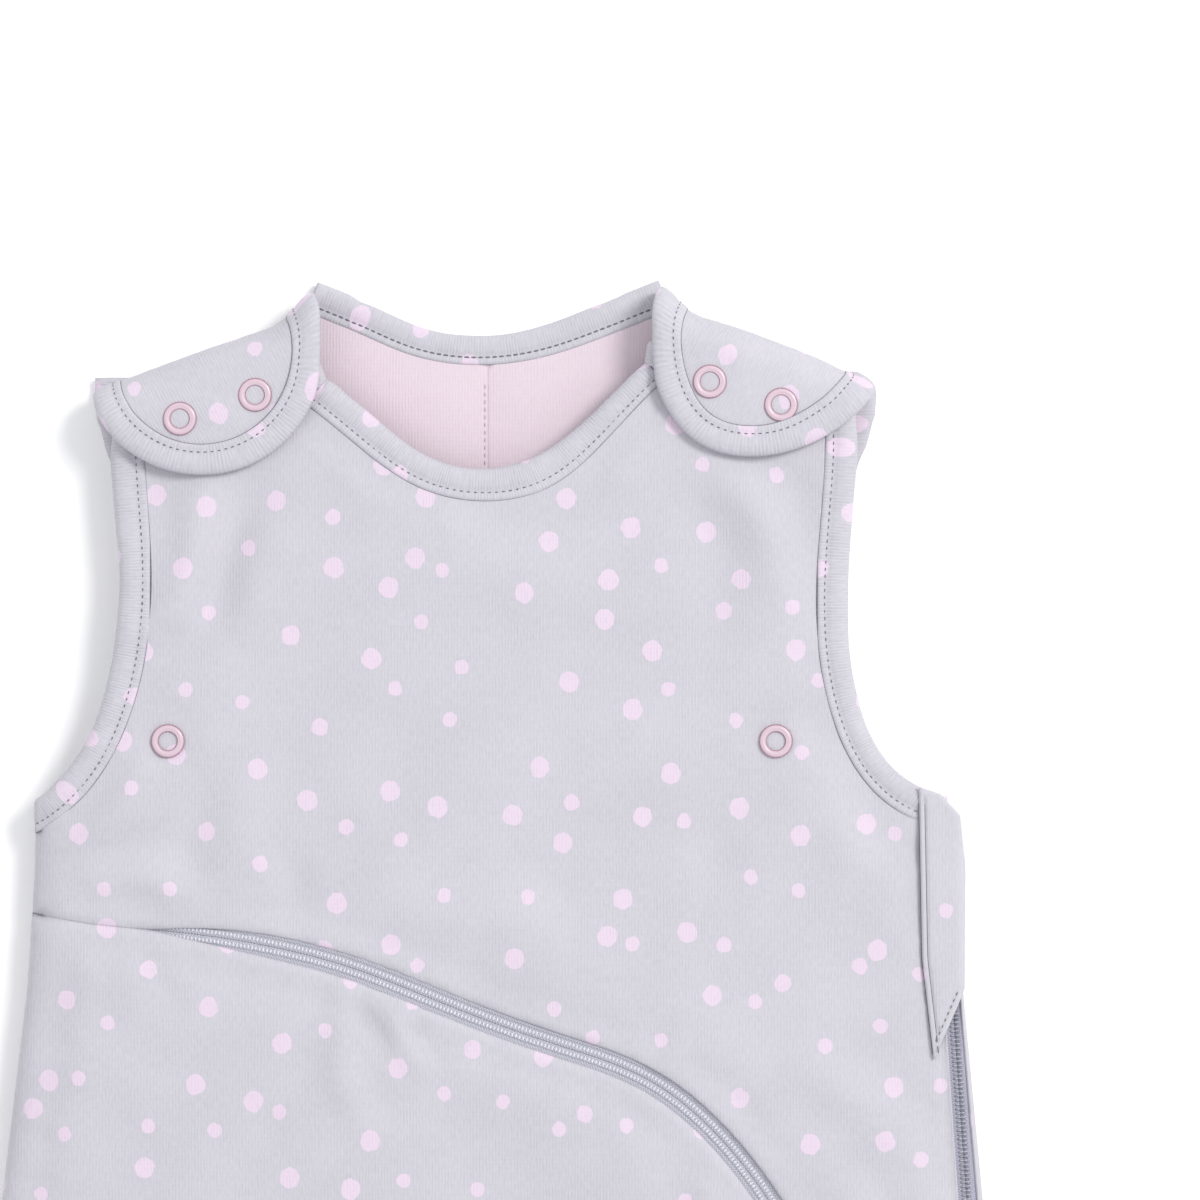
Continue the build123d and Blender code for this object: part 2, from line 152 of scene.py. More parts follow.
class Nodes:
    """A material's node tree, written as sums."""

    def __init__(self, name, roughness, sheen=0.0, metallic=0.0, specular=0.5):
        self.material = bpy.data.materials.new(name)
        self.material.use_nodes = True
        self.tree = self.material.node_tree
        self.shader = self.tree.nodes["Principled BSDF"]
        self.set({"Roughness": roughness, "Metallic": metallic, "Specular IOR Level": specular,
                  "Sheen Weight": sheen, "Sheen Roughness": 0.45})

    def set(self, values):
        """Constants, or other nodes' outputs, for the shader."""
        for key, value in values.items():
            self.put(value, self.shader.inputs[key])

    def node(self, kind, inputs=(), **settings):
        made = self.tree.nodes.new(kind)
        for key, value in settings.items():
            setattr(made, key, value)
        for key, value in dict(inputs).items():
            self.put(value, made.inputs[key])
        return made

    def put(self, value, socket):
        if hasattr(value, "links"):
            self.tree.links.new(value, socket)
        else:
            socket.default_value = value

    def math(self, operation, a, b=0.0, c=0.0):
        return self.node("ShaderNodeMath", {0: a, 1: b, 2: c}, operation=operation).outputs[0]

    def ramp(self, value, low, high, start=0.0, end=1.0):
        """start below low, end above high, and smooth between them."""
        made = self.node("ShaderNodeMapRange", {0: value, 1: low, 2: high, 3: start, 4: end},
                         interpolation_type="SMOOTHSTEP")
        return made.outputs[0]

    def mix(self, share, a, b):
        made = self.node("ShaderNodeMix", {"Factor": share}, data_type="RGBA")
        self.put(a, made.inputs[6])
        self.put(b, made.inputs[7])
        return made.outputs[2]

    def cloth(self):
        """Where a point is on its flat cloth, in metres."""
        return self.node("ShaderNodeUVMap", uv_map="cloth").outputs[0]

    def split(self, vector):
        return self.node("ShaderNodeSeparateXYZ", {0: vector}).outputs

    def vector(self, operation, a, b):
        return self.node("ShaderNodeVectorMath", {0: a, 1: b}, operation=operation).outputs[0]

    def noise(self, vector, scale, detail=2.0, rough=0.5):
        inputs = {"Vector": vector, "Scale": scale, "Detail": detail, "Roughness": rough}
        return self.node("ShaderNodeTexNoise", inputs, noise_dimensions="2D").outputs[0]

    def solid_noise(self, scale, detail=2.0):
        """Noise fixed in the piece's own space."""
        place = self.node("ShaderNodeTexCoord").outputs["Object"]
        inputs = {"Vector": place, "Scale": scale, "Detail": detail}
        return self.node("ShaderNodeTexNoise", inputs).outputs[0]

    def bump(self, height, distance, strength=1.0):
        made = self.node("ShaderNodeBump", {"Height": height, "Distance": distance, "Strength": strength})
        self.set({"Normal": made.outputs[0]})

    def colour(self, value):
        self.set({"Base Color": value})


def knit(nodes):
    """Jersey's rows of stitches: ribs along the cloth's length, broken up as the yarn varies."""
    uv = nodes.cloth()
    x, y, _ = nodes.split(uv)
    wander = nodes.noise(uv, 90.0)
    phase = nodes.math("MULTIPLY_ADD", wander, 2.2, nodes.math("MULTIPLY", x, 2 * math.pi / KNIT_WALE))
    ribs = nodes.math("SINE", phase)
    rows = nodes.math("SINE", nodes.math("MULTIPLY", y, 2 * math.pi / KNIT_COURSE))
    yarn = nodes.noise(nodes.vector("MULTIPLY", uv, (1500.0, 420.0, 1)), 1.0, 3.0, 0.6)
    patches = nodes.ramp(nodes.noise(uv, 160.0, 3.0), 0.38, 0.62, 0.35, 1.0)
    ribs = nodes.math("MULTIPLY", ribs, patches)
    height = nodes.math("ADD", nodes.math("MULTIPLY", ribs, 0.5), nodes.math("MULTIPLY", rows, 0.12))
    return uv, nodes.math("ADD", height, nodes.math("MULTIPLY", yarn, 1.1)), yarn, ribs


def dot_ink(nodes, uv, yarn):
    """1 inside the printed dots, which lie on a slanting, shaken grid and have ragged edges."""
    ragged = nodes.node("ShaderNodeTexNoise", {"Vector": uv, "Scale": 420.0, "Detail": 2.0},
                        noise_dimensions="2D").outputs["Color"]
    ragged = nodes.vector("SUBTRACT", ragged, (0.5, 0.5, 0.5))
    ragged = nodes.node("ShaderNodeVectorMath", {0: ragged, "Scale": 1.1 * MM}, operation="SCALE")
    place = nodes.vector("MULTIPLY", nodes.vector("ADD", uv, ragged.outputs[0]), (1.0, 0.93, 1))
    place = nodes.node("ShaderNodeVectorRotate", {"Vector": place, "Angle": DOT_SLANT},
                       rotation_type="Z_AXIS").outputs[0]
    inputs = {"Vector": place, "Scale": 1 / DOT_SPACING, "Randomness": 0.78}
    cells = nodes.node("ShaderNodeTexVoronoi", inputs, voronoi_dimensions="2D")
    pick = nodes.node("ShaderNodeSeparateColor", {0: cells.outputs["Color"]}).outputs[0]
    radius = nodes.ramp(pick, 0.35, 0.65, DOT_SMALL / DOT_SPACING, DOT_LARGE / DOT_SPACING)
    inside_by = nodes.math("SUBTRACT", radius, cells.outputs["Distance"])
    ink = nodes.ramp(inside_by, -0.12 * MM / DOT_SPACING, 0.22 * MM / DOT_SPACING, 0.0, 1.0)
    return nodes.math("MULTIPLY", ink, nodes.ramp(yarn, 0.2, 0.55, 0.72, 1.0))


def jersey(name, base, shade, dots=None, ribbed=0.07):
    """Cotton jersey in a colour, shaded between its ribs, with soft printed dots if asked."""
    nodes = Nodes(name, 0.88, sheen=0.12, specular=0.2)
    uv, height, yarn, ribs = knit(nodes)
    blotch = nodes.noise(uv, 34.0, 3.0)
    tone = nodes.math("MULTIPLY_ADD", ribs, ribbed, nodes.math("MULTIPLY", yarn, 0.62))
    tone = nodes.math("MULTIPLY_ADD", blotch, 0.35, tone)
    cloth = nodes.mix(nodes.ramp(tone, 0.05, 0.85), shade, base)
    if dots:
        cloth = nodes.mix(dot_ink(nodes, uv, yarn), cloth, dots)
    nodes.colour(cloth)
    nodes.bump(height, 0.6 * ribbed * MM + 0.015 * MM, 0.9)
    return nodes.material


def thread(name, colour, dark):
    """Sewing thread, twisted."""
    nodes = Nodes(name, 0.7, sheen=0.2, specular=0.3)
    twist = nodes.solid_noise(2600.0)
    nodes.colour(nodes.mix(nodes.ramp(twist, 0.35, 0.65), dark, colour))
    nodes.bump(twist, 0.05 * MM)
    return nodes.material


def woven(name, light, dark, pitch):
    """Woven tape: fine picks across it and ridges along it."""
    nodes = Nodes(name, 0.72, sheen=0.1, specular=0.35)
    uv = nodes.cloth()
    x, y, _ = nodes.split(uv)
    picks = nodes.math("SINE", nodes.math("MULTIPLY", x, 2 * math.pi / pitch))
    ends = nodes.math("SINE", nodes.math("MULTIPLY", y, 2 * math.pi / (pitch * 1.25)))
    weave = nodes.math("MULTIPLY", picks, ends)
    fuzz = nodes.noise(uv, 2400.0)
    tone = nodes.math("MULTIPLY_ADD", weave, 0.28, fuzz)
    nodes.colour(nodes.mix(nodes.ramp(tone, 0.25, 0.8), dark, light))
    nodes.bump(weave, 0.10 * MM)
    return nodes.material


def ringed(name, face, edge):
    """Enamel on a ring snap, with painted shade: darker at its outer groove and edge and at its inner rim,
    where shade falls. Its UV map holds the distance from its middle.
    """
    nodes = Nodes(name, 0.34, specular=0.4)
    nodes.set({"Coat Weight": 0.35, "Coat Roughness": 0.2})
    away = nodes.split(nodes.cloth())[0]
    # Painted shade: masks for the outer groove and edge and for the inner rim, which take the darker edge
    # colour
    outer = nodes.ramp(away, 4.62 * MM, 4.80 * MM)
    inner = nodes.ramp(away, 3.12 * MM, 2.98 * MM)
    mottle = nodes.noise(nodes.cloth(), 900.0)
    rim = nodes.math("MAXIMUM", outer, inner)
    rim = nodes.math("MULTIPLY", rim, nodes.ramp(mottle, 0.25, 0.5, 0.75, 1.0))
    nodes.colour(nodes.mix(rim, face, edge))
    nodes.bump(mottle, 0.03 * MM)
    return nodes.material


def hard(name, colour, dark, roughness, metallic, coat=0.0):
    """Metal, enamel or moulded plastic with slight wear and pits."""
    nodes = Nodes(name, roughness, metallic=metallic)
    nodes.set({"Coat Weight": coat, "Coat Roughness": 0.12})
    wear = nodes.solid_noise(900.0, 4.0)
    nodes.colour(nodes.mix(nodes.ramp(wear, 0.3, 0.6), dark, colour))
    nodes.set({"Roughness": nodes.ramp(wear, 0.3, 0.8, max(roughness - 0.08, 0.05), roughness + 0.1)})
    nodes.bump(wear, 0.02 * MM, 0.5)
    return nodes.material


GREY = (0.560, 0.545, 0.590, 1)
GREY_SHADE = (0.465, 0.455, 0.500, 1)
PINK_DOT = (0.680, 0.570, 0.680, 1)
outer_jersey = jersey("outer_jersey", GREY, GREY_SHADE, PINK_DOT)
binding_jersey = jersey("binding_jersey", (0.565, 0.55, 0.595, 1), (0.44, 0.43, 0.475, 1), PINK_DOT,
                       ribbed=0.11)
lining_jersey = jersey("lining_jersey", (0.690, 0.592, 0.652, 1), (0.630, 0.532, 0.592, 1))
# Dark thread for the real stitches, also used for the dark lines of painted shadow beside the bindings' sewn
# edges
stitch_thread = thread("stitch_thread", (0.21, 0.20, 0.23, 1), (0.12, 0.12, 0.14, 1))
pink_thread = thread("pink_thread", (0.66, 0.50, 0.60, 1), (0.58, 0.42, 0.52, 1))
zip_tape = woven("zip_tape", (0.52, 0.52, 0.59, 1), (0.36, 0.36, 0.42, 1), 0.9 * MM)
zip_coil = hard("zip_coil", (0.66, 0.66, 0.72, 1), (0.50, 0.50, 0.56, 1), 0.42, 0.0)
zip_ridge = thread("zip_ridge", (0.74, 0.74, 0.79, 1), (0.60, 0.60, 0.66, 1))
side_tape = woven("side_tape", (0.50, 0.50, 0.60, 1), (0.38, 0.38, 0.47, 1), 0.8 * MM)
side_coil = hard("side_coil", (0.40, 0.40, 0.46, 1), (0.28, 0.28, 0.33, 1), 0.40, 0.0)
# The second colour of snap_enamel is painted shade for the rings' outer groove and inner rim
snap_enamel = ringed("snap_enamel", (0.610, 0.470, 0.540, 1), (0.340, 0.190, 0.250, 1))
snap_metal = hard("snap_metal", (0.62, 0.61, 0.60, 1), (0.50, 0.49, 0.49, 1), 0.32, 1.0)
slider_metal = hard("slider_metal", (0.60, 0.60, 0.63, 1), (0.48, 0.48, 0.51, 1), 0.34, 0.85, coat=0.3)


# Outlines, read from the CAD plates

def loops(node):
    """The outlines of a CAD plate's top face, longest first, as arrays of (x, y), anticlockwise outside."""
    mesh = frame["nodes"][node].data
    places = [(round(v.co.x, 6), round(v.co.y, 6)) for v in mesh.vertices]
    top = max(v.co.z for v in mesh.vertices) - 0.01 * MM
    edges = set()
    for face in mesh.polygons:
        if min(mesh.vertices[i].co.z for i in face.vertices) < top:
            continue
        corners = [places[i] for i in face.vertices]
        for edge in zip(corners, corners[1:] + corners[:1]):
            if edge[::-1] in edges:
                edges.remove(edge[::-1])
            elif edge[0] != edge[1]:
                edges.add(edge)
    following = dict(sorted(edges))
    found = []
    while following:
        start = next(iter(following))
        loop = [start]
        while following.get(loop[-1], start) != start:
            loop.append(following.pop(loop[-1]))
        following.pop(loop[-1], None)
        found.append(np.array(loop))
    return sorted(found, key=lambda loop: -run_of(closed(loop))[-1])


def outline(node):
    """A CAD plate's longest outline."""
    return loops(node)[0]


def closed(loop):
    return np.vstack([loop, loop[:1]])


def run_of(line):
    """How far along a line each of its points is."""
    return np.concatenate([[0], np.cumsum(np.linalg.norm(np.diff(line, axis=0), axis=1))])


def even(line, step):
    """A line with points evenly spaced along it."""
    run = run_of(line)
    count = max(2, round(run[-1] / step) + 1)
    stops = np.linspace(0, run[-1], count)
    return np.stack([np.interp(stops, run, line[:, k]) for k in range(line.shape[1])], axis=1)


def turns(loop):
    """How sharply a closed loop turns at each of its points."""
    ahead = np.roll(loop, -1, 0) - loop
    heading = np.arctan2(ahead[:, 1], ahead[:, 0])
    return np.abs((heading - np.roll(heading, 1) + math.pi) % (2 * math.pi) - math.pi)


def stretches(loop, corners):
    """The parts of a closed loop from each corner to the next."""
    whole = closed(np.roll(loop, -corners[0], 0))
    marks = [corner - corners[0] for corner in corners] + [len(loop)]
    return [whole[a:b + 1] for a, b in zip(marks, marks[1:])]


def spaced(loop, step, sharp=0.4):
    """A closed loop with points about step apart, its corners kept."""
    corners = list(np.flatnonzero(turns(loop) > sharp)) or [0]
    return np.vstack([even(part, step)[:-1] for part in stretches(loop, corners)])


def units(vectors):
    return vectors / np.linalg.norm(vectors, axis=-1)[..., None]


def left_of(line):
    """The unit normals to the left of a line's direction."""
    ahead = units(np.gradient(line, axis=0))
    return np.stack([-ahead[:, 1], ahead[:, 0]], axis=1)


def inside(points, loop):
    """Which points lie inside a loop."""
    after = np.roll(loop, -1, 0)
    rise = after[:, 1] - loop[:, 1]
    rise[rise == 0] = 1e-12
    odd = []
    for part in np.array_split(points, len(points) // 3000 + 1):
        x, y = part[:, 0:1], part[:, 1:2]
        crosses = (loop[:, 1] > y) != (after[:, 1] > y)
        meets = loop[:, 0] + (y - loop[:, 1]) * (after[:, 0] - loop[:, 0]) / rise
        odd.append((crosses & (x < meets)).sum(1) % 2 == 1)
    return np.concatenate(odd)


def tree_of(points):
    """Flat points, ready to be searched."""
    tree = KDTree(len(points))
    for i, (x, y) in enumerate(points):
        tree.insert((x, y, 0), i)
    tree.balance()
    return tree


def gap(points, line):
    """How far each point is from a line of points."""
    tree = tree_of(line)
    return np.array([tree.find((x, y, 0))[2] for x, y in points])


def edge_of(loop):
    """A closed loop as close points, to measure gaps to."""
    return fine(closed(loop))


def fine(line):
    return even(line, 0.4 * MM)


def touching(line, other, reach=0.6 * MM):
    """The points of a line that lie on another line."""
    return line[gap(line, other) < reach]


def directed_rim(faces):
    """The edges that only one face has, in its direction."""
    found = set()
    for face in faces:
        for edge in zip(face, face[1:] + face[:1]):
            if edge[::-1] in found:
                found.remove(edge[::-1])
            else:
                found.add(edge)
    return sorted(found)


class Flat:
    """Flat cloth inside an outline: points, triangles and a rim, with close rows along the edge."""

    def __init__(self, loop, step, rows=(0.5, 1.4, 2.8)):
        border = spaced(loop, min(step, 2.6 * MM))
        edge = edge_of(border)
        inward = left_of(np.vstack([border[-1:], border, border[:1]]))[1:-1]
        points = [border]
        for row in rows:
            moved = border + inward * row * MM
            clear = inside(moved, border) & (gap(moved, edge) > 0.9 * row * MM)
            points.append(moved[clear])
        low, high = border.min(0), border.max(0)
        height = step * math.sqrt(3) / 2
        grid = []
        for j in range(int((high[1] - low[1]) / height) + 1):
            xs = np.arange(low[0] + (j % 2) * step / 2, high[0], step)
            grid.append(raised(xs, low[1] + j * height))
        grid = np.vstack(grid)
        grid = grid[inside(grid, border)]
        room = (max(rows) if rows else 0.3) * MM + 0.55 * step
        points.append(grid[gap(grid, edge) > room])
        count = len(border)
        ring = [(i, (i + 1) % count) for i in range(count)]
        made = delaunay_2d_cdt([Vector(p) for p in np.vstack(points)], ring, [], 1, 1e-7)
        self.points = np.array([tuple(v) for v in made[0]])
        self.triangles = [tuple(f) for f in made[2]]
        self.rim = directed_rim(self.triangles)

    def size(self):
        width, length = self.points.max(0) - self.points.min(0)
        return float(width), float(length)

    def area(self):
        corners = self.points[np.array(self.triangles)]
        a, b = corners[:, 1] - corners[:, 0], corners[:, 2] - corners[:, 0]
        return float(np.abs(a[:, 0] * b[:, 1] - a[:, 1] * b[:, 0]).sum() / 2)


# Meshes

def raised(points, z):
    """Points with one more coordinate, such as a height for each or for all."""
    return np.column_stack([points, np.broadcast_to(z, len(points))])


def link(name, verts, faces, uvs, *materials):
    """A mesh object with its place on the flat cloth as its UV map. uvs has one pair for each vertex."""
    mesh = bpy.data.meshes.new(name)
    mesh.from_pydata([tuple(v) for v in verts], [], faces)
    layer = mesh.uv_layers.new(name="cloth")
    corner = np.zeros(len(mesh.loops), int)
    mesh.loops.foreach_get("vertex_index", corner)
    layer.data.foreach_set("uv", np.asarray(uvs, float)[corner].ravel())
    mesh.polygons.foreach_set("use_smooth", [True] * len(mesh.polygons))
    for material in materials:
        mesh.materials.append(material)
    return placed(name, mesh)


def plump(name, flat, upper, lower, over, under=None):
    """A closed piece of cloth between two surfaces over the same flat cloth."""
    count = len(flat.points)
    faces = list(flat.triangles)
    faces += [tuple(i + count for i in reversed(face)) for face in flat.triangles]
    faces += [(a, a + count, b + count, b) for a, b in flat.rim]
    uvs = np.vstack([flat.points, flat.points])
    made = link(name, np.vstack([upper, lower]), faces, uvs, over, under or over)
    if under:
        marks = [0] * len(flat.triangles) + [1] * len(flat.triangles) + [0] * len(flat.rim)
        made.data.polygons.foreach_set("material_index", marks)
    return made


def laid_out(along, across):
    """The flat places of rings of points: how far along each ring is, and how far across each point."""
    return np.stack(np.broadcast_arrays(along[:, None], across[None, :]), axis=2)


def tube(name, rings, uvs, material):
    """A skin over rings of points, each ring closed; uvs has a pair for each point."""
    rings = np.asarray(rings)
    count, size = rings.shape[:2]
    faces = []
    for i in range(count - 1):
        for j in range(size):
            k = (j + 1) % size
            faces.append((i * size + j, i * size + k, (i + 1) * size + k, (i + 1) * size + j))
    faces.append(tuple(reversed(range(size))))
    faces.append(tuple(range((count - 1) * size, count * size)))
    return link(name, rings.reshape(-1, 3), faces, np.asarray(uvs).reshape(-1, 2), material)


def join(name, parts, material):
    """One mesh object from many (verts, faces) pieces."""
    verts, faces = [], []
    for piece_verts, piece_faces in parts:
        base = len(verts)
        verts.extend(tuple(v) for v in piece_verts)
        faces.extend(tuple(i + base for i in face) for face in piece_faces)
    return link(name, verts, faces, np.array(verts)[:, :2], material)


def bead(centre, along, half_length, half_width, half_height):
    """An ellipsoid bead with its long side along a direction, as (verts, faces)."""
    around, rings = 6, 4
    along = Vector(along).normalized()
    across = Vector((0, 0, 1)).cross(along).normalized()
    up = along.cross(across)
    verts = [Vector(centre) - along * half_length]
    for i in range(1, rings):
        angle = math.pi * i / rings
        for j in range(around):
            turn = 2 * math.pi * j / around
            side = across * (half_width * math.cos(turn)) + up * (half_height * math.sin(turn))
            verts.append(Vector(centre) - along * (half_length * math.cos(angle)) + side * math.sin(angle))
    verts.append(Vector(centre) + along * half_length)
    faces = []
    for j in range(around):
        k = (j + 1) % around
        faces.append((0, 1 + k, 1 + j))
        for i in range(rings - 2):
            a, b = 1 + i * around, 1 + (i + 1) * around
            faces.append((a + j, a + k, b + k, b + j))
        last = 1 + (rings - 2) * around
        faces.append((last + j, last + k, len(verts) - 1))
    return verts, faces


def stitch_row(path, half_length, radius):
    """One stitch at each of a path's points, lying along it."""
    ways = np.gradient(path, axis=0)
    return [bead(point, way, half_length, radius, radius) for point, way in zip(path, ways)]


def lathe(profile, centre, around):
    """A closed profile of (radius, height) turned about an upright axis, as (verts, faces)."""
    verts, faces = [], []
    size = len(profile)
    for j in range(around):
        turn = 2 * math.pi * j / around
        for radius, height in profile:
            x, y = radius * math.cos(turn), radius * math.sin(turn)
            verts.append((centre[0] + x, centre[1] + y, centre[2] + height))
    for j in range(around):
        k = (j + 1) % around
        for i in range(size):
            n = (i + 1) % size
            faces.append((j * size + i, k * size + i, k * size + n, j * size + n))
    return verts, faces


def softly(value, low, high):
    """0 below low, 1 above high, smooth between."""
    t = np.clip((value - low) / (high - low), 0, 1)
    return t * t * (3 - 2 * t)


def hump(distance, width):
    """1 at no distance, and smoothly down to 0."""
    return np.exp(-(distance / width) ** 2)


def rumpled(points, scale, seed):
    """Smooth noise from -1 to 1 at each point; scale is in waves for each metre."""
    return np.array([noise.noise((x * scale, y * scale, seed)) for x, y in points[:, :2]])


def rolled(distance, radius):
    """The fall of a rounded edge, from 1 at the edge to 0 a radius in."""
    t = np.clip(1 - distance / radius, 0, 1)
    return 1 - np.sqrt(np.maximum(0, 1 - t * t))


# The lie of the cloth

COIL_FROM_MIDDLE = 0.6 * MM
TAPE_REACH = 4.6 * MM
PANEL_GAP = 2.6 * MM
BACK_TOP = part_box("back_lining_left")[1].z


def merged(loop, other, reach):
    """The outline round two plates that lie side by side with a small gap between them."""
    chains = []
    for line, facing in ((loop, other), (other, loop)):
        line = spaced(line, 1.0 * MM)
        kept = gap(line, edge_of(facing)) > reach
        first = int(np.flatnonzero(kept & ~np.roll(kept, 1))[0])
        chains.append(np.roll(line, -first, 0)[np.roll(kept, -first)])
    return np.vstack(chains)


def long_sides(node):
    """The two long sides of a strip-shaped plate, as lines of points from the same end."""
    loop = spaced(outline(node), 1.0 * MM, 1.0)
    corners = sorted(np.argsort(-turns(loop))[:4])
    first, second = sorted(stretches(loop, corners), key=len)[-2:]
    return first, second[::-1]


def chain_line(coil, other):
    """The centre line of a zip's chain, from one coil's edge nearest to the other coil."""
    facing = edge_of(outline(other))
    side = min(long_sides(coil), key=lambda line: gap(line, facing).mean())
    shift = left_of(side) * COIL_FROM_MIDDLE
    return min((side + shift, side - shift), key=lambda line: gap(line, facing).mean())


upper_loop = outline("front_upper_outer")
lower_loop = merged(outline("front_lower_outer"), outline("opening_flap_outer"), PANEL_GAP)
back_loop = outline("back_outer_panel")
zip_line = even(chain_line("front_zip_upper_coil", "opening_flap_zip_coil"), 1.15 * MM)
if zip_line[0, 0] > zip_line[-1, 0]:
    zip_line = zip_line[::-1]
side_line = even(chain_line("side_zip_front_coil", "side_zip_back_coil"), 1.3 * MM)
if side_line[0, 1] < side_line[-1, 1]:
    side_line = side_line[::-1]

upper_edge, lower_edge, back_edge = edge_of(upper_loop), edge_of(lower_loop), edge_of(back_loop)
seam_edges = np.vstack([
    edge_of(loop) for node in ("left_side_seam", "hem_seam", "right_side_fold") for loop in loops(node)
])
ARMHOLE_X = 134.5 * MM
underarm_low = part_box("left_side_seam")[1].y
underarm_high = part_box("left_front_armhole_binding")[0].y


def joined(edge):
    """The stretch of a wall's edge that is sewn to the other wall."""
    under = (np.abs(edge[:, 0]) > ARMHOLE_X) & (edge[:, 1] > underarm_low) & (edge[:, 1] < underarm_high)
    return np.vstack([touching(edge, seam_edges), edge[under]])


front_joined = np.vstack([joined(upper_edge), joined(lower_edge)])
back_joined = joined(back_edge)
front_seam = touching(upper_edge, lower_edge, 0.9 * MM)
zip_edges = np.vstack([touching(edge, zip_line, TAPE_REACH) for edge in (upper_edge, lower_edge)])
side_zip_edge = touching(upper_edge, fine(side_line), TAPE_REACH)
front_snaps = [loop.mean(0) for loop in loops("armhole_front_snap_rings")]

# Soft folds in the lying front: their two ends, height and half width in millimetres
FRONT_FOLDS = (
    ((-80, 296), (-101, 246), 1.5, 6.0),
    ((-70, 292), (-84, 252), -0.9, 7.0),
    ((72, 296), (96, 250), 1.2, 7.0),
    ((60, 288), (74, 248), -0.8, 8.0),
    ((-99, 210), (-124, 184), 1.2, 6.0),
    ((-90, 208), (-84, 172), -0.9, 8.0),
    ((92, 210), (118, 176), 1.1, 7.0),
    ((80, 208), (66, 176), -0.8, 8.0),
    ((-124, 176), (-88, 168), 1.0, 6.0),
    ((-30, 170), (22, 152), 0.9, 9.0),
    ((-34, 128), (-60, 96), 0.9, 8.0),
    ((52, 96), (26, 52), 1.0, 9.0),
    ((96, 120), (122, 90), 0.9, 8.0),
    ((-20, 270), (24, 262), 0.6, 10.0),
    ((-128, 60), (-84, 20), 1.3, 12.0),
    ((-60, -40), (10, -92), 1.2, 14.0),
    ((-140, -120), (-70, -170), 1.4, 13.0),
    ((20, -180), (86, -230), 1.1, 12.0),
    ((-90, -262), (-10, -300), 1.3, 13.0),
    ((-46, 143), (-39, 104), 0.9, 4.5),
    ((-37, 139), (-33, 121), -0.9, 3.0),
    ((-25, 135), (-24, 116), 0.8, 3.5),
    ((44, 116), (60, 122), 0.6, 3.5),
    ((-64, 160), (-58, 178), -0.6, 5.0),
)


def folded(points, folds):
    """The rise of soft folds at each point."""
    rise = np.zeros(len(points))
    for start, end, height, width in folds:
        a, b = np.array(start) * MM, np.array(end) * MM
        along = (b - a) / np.linalg.norm(b - a)
        offset = points - a
        t = offset @ along / np.linalg.norm(b - a)
        bend = 3 * MM * np.sin(t * 5 + start[0])
        side = offset @ np.array([-along[1], along[0]]) + bend
        fade = softly(t, -0.25, 0.3) * (1 - softly(t, 0.7, 1.25))
        shape = hump(side, width * MM) - 0.55 * hump(side - 1.8 * width * MM, width * MM)
        rise += height * MM * fade * shape
    return rise


def nearest_run(points, line):
    """How far along a line the nearest of its points is, for each point, and the gap to it."""
    tree, run = tree_of(line), run_of(line)
    hits = [tree.find((x, y, 0)) for x, y in points]
    return np.array([run[hit[1]] for hit in hits]), np.array([hit[2] for hit in hits])


def front_z(points):
    """The height of the front wall's outer face."""
    to_joined, to_zip, to_side_zip = (
        gap(points, line) for line in (front_joined, zip_edges, side_zip_edge)
    )
    along, from_zip = nearest_run(points, zip_line)
    calm = softly(to_joined, 2 * MM, 24 * MM)
    z = FRONT_TOP - (FRONT_TOP - EDGE_Z - 0.4 * MM) * rolled(to_joined, ROLL_R)
    z -= 0.9 * MM * hump(gap(points, front_seam), 1.0 * MM)
    z += calm * (1.1 * MM * rumpled(points, 14, 1.3) + 0.50 * MM * rumpled(points, 33, 4.1))
    z += calm * 0.12 * MM * rumpled(points, 95, 7.7)
    z += 1.7 * calm * folded(points, FRONT_FOLDS)
    pucker = np.sin(along / (2.3 * MM) + 2.5 * rumpled(points, 25, 2.2)) * np.exp(-from_zip / (9 * MM))
    z += 0.42 * MM * pucker * softly(from_zip, 3.4 * MM, 6 * MM)
    z += 0.5 * MM * hump(to_zip - 3.2 * MM, 2.6 * MM)
    flat_zone = np.clip(hump(to_zip, 4.5 * MM) + hump(to_side_zip, 5 * MM), 0, 1)
    z = z + flat_zone * 0.85 * (np.minimum(z, FRONT_TOP + 0.5 * MM) - z)
    z -= (FRONT_TOP - ZIP_TOP - 0.15 * MM) * rolled(to_zip, 1.7 * MM)
    z -= 1.6 * MM * rolled(to_side_zip, 2.0 * MM)
    for snap in front_snaps:
        away = np.linalg.norm(points - snap, axis=1)
        z += (FRONT_TOP - z) * (1 - softly(away, 5 * MM, 9 * MM))
        z -= 0.35 * MM * hump(away - 5.4 * MM, 1.0 * MM)
    return z


def back_z(points):
    """The height of the back wall's outer face, which lies on the surface below."""
    to_joined = gap(points, back_joined)
    z = (EDGE_Z - 0.4 * MM) * rolled(to_joined, ROLL_R)
    lift = 0.5 * MM * (1 + rumpled(points, 16, 9.1)) + 0.25 * MM * (1 + rumpled(points, 38, 3.3))
    return z + 0.06 * MM + softly(to_joined, 4 * MM, 24 * MM) * softly(lift, 0.3 * MM, 1.6 * MM) * 0.8 * MM


def inward(joint):
    """The direction from a flap's fold line into the flap."""
    x, y, _ = JOINTS[joint]["axis"]
    return np.array([-y, x])


def bend_opening(piece):
    """Bake the piece's transform into its mesh."""
    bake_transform(piece)


def finish(piece, nodes=(), moves="bag"):
    """Parent a piece to its body's empty, or hand it to a function that bakes its transform, and hide the CAD
    nodes it stands for.
    """
    if callable(moves):
        moves(piece)
    else:
        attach(piece, moves)
    if nodes:
        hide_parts(*nodes)


def declare_sheet(flat):
    """A sheet's flat width, length and area, the area raised to at least LEAST_SHARE of its box, worked out
    and not kept. The frame tools take no area under about LEAST_SHARE of its box.
    """
    width, length = flat.size()
    area = max(flat.area(), LEAST_SHARE * width * length)


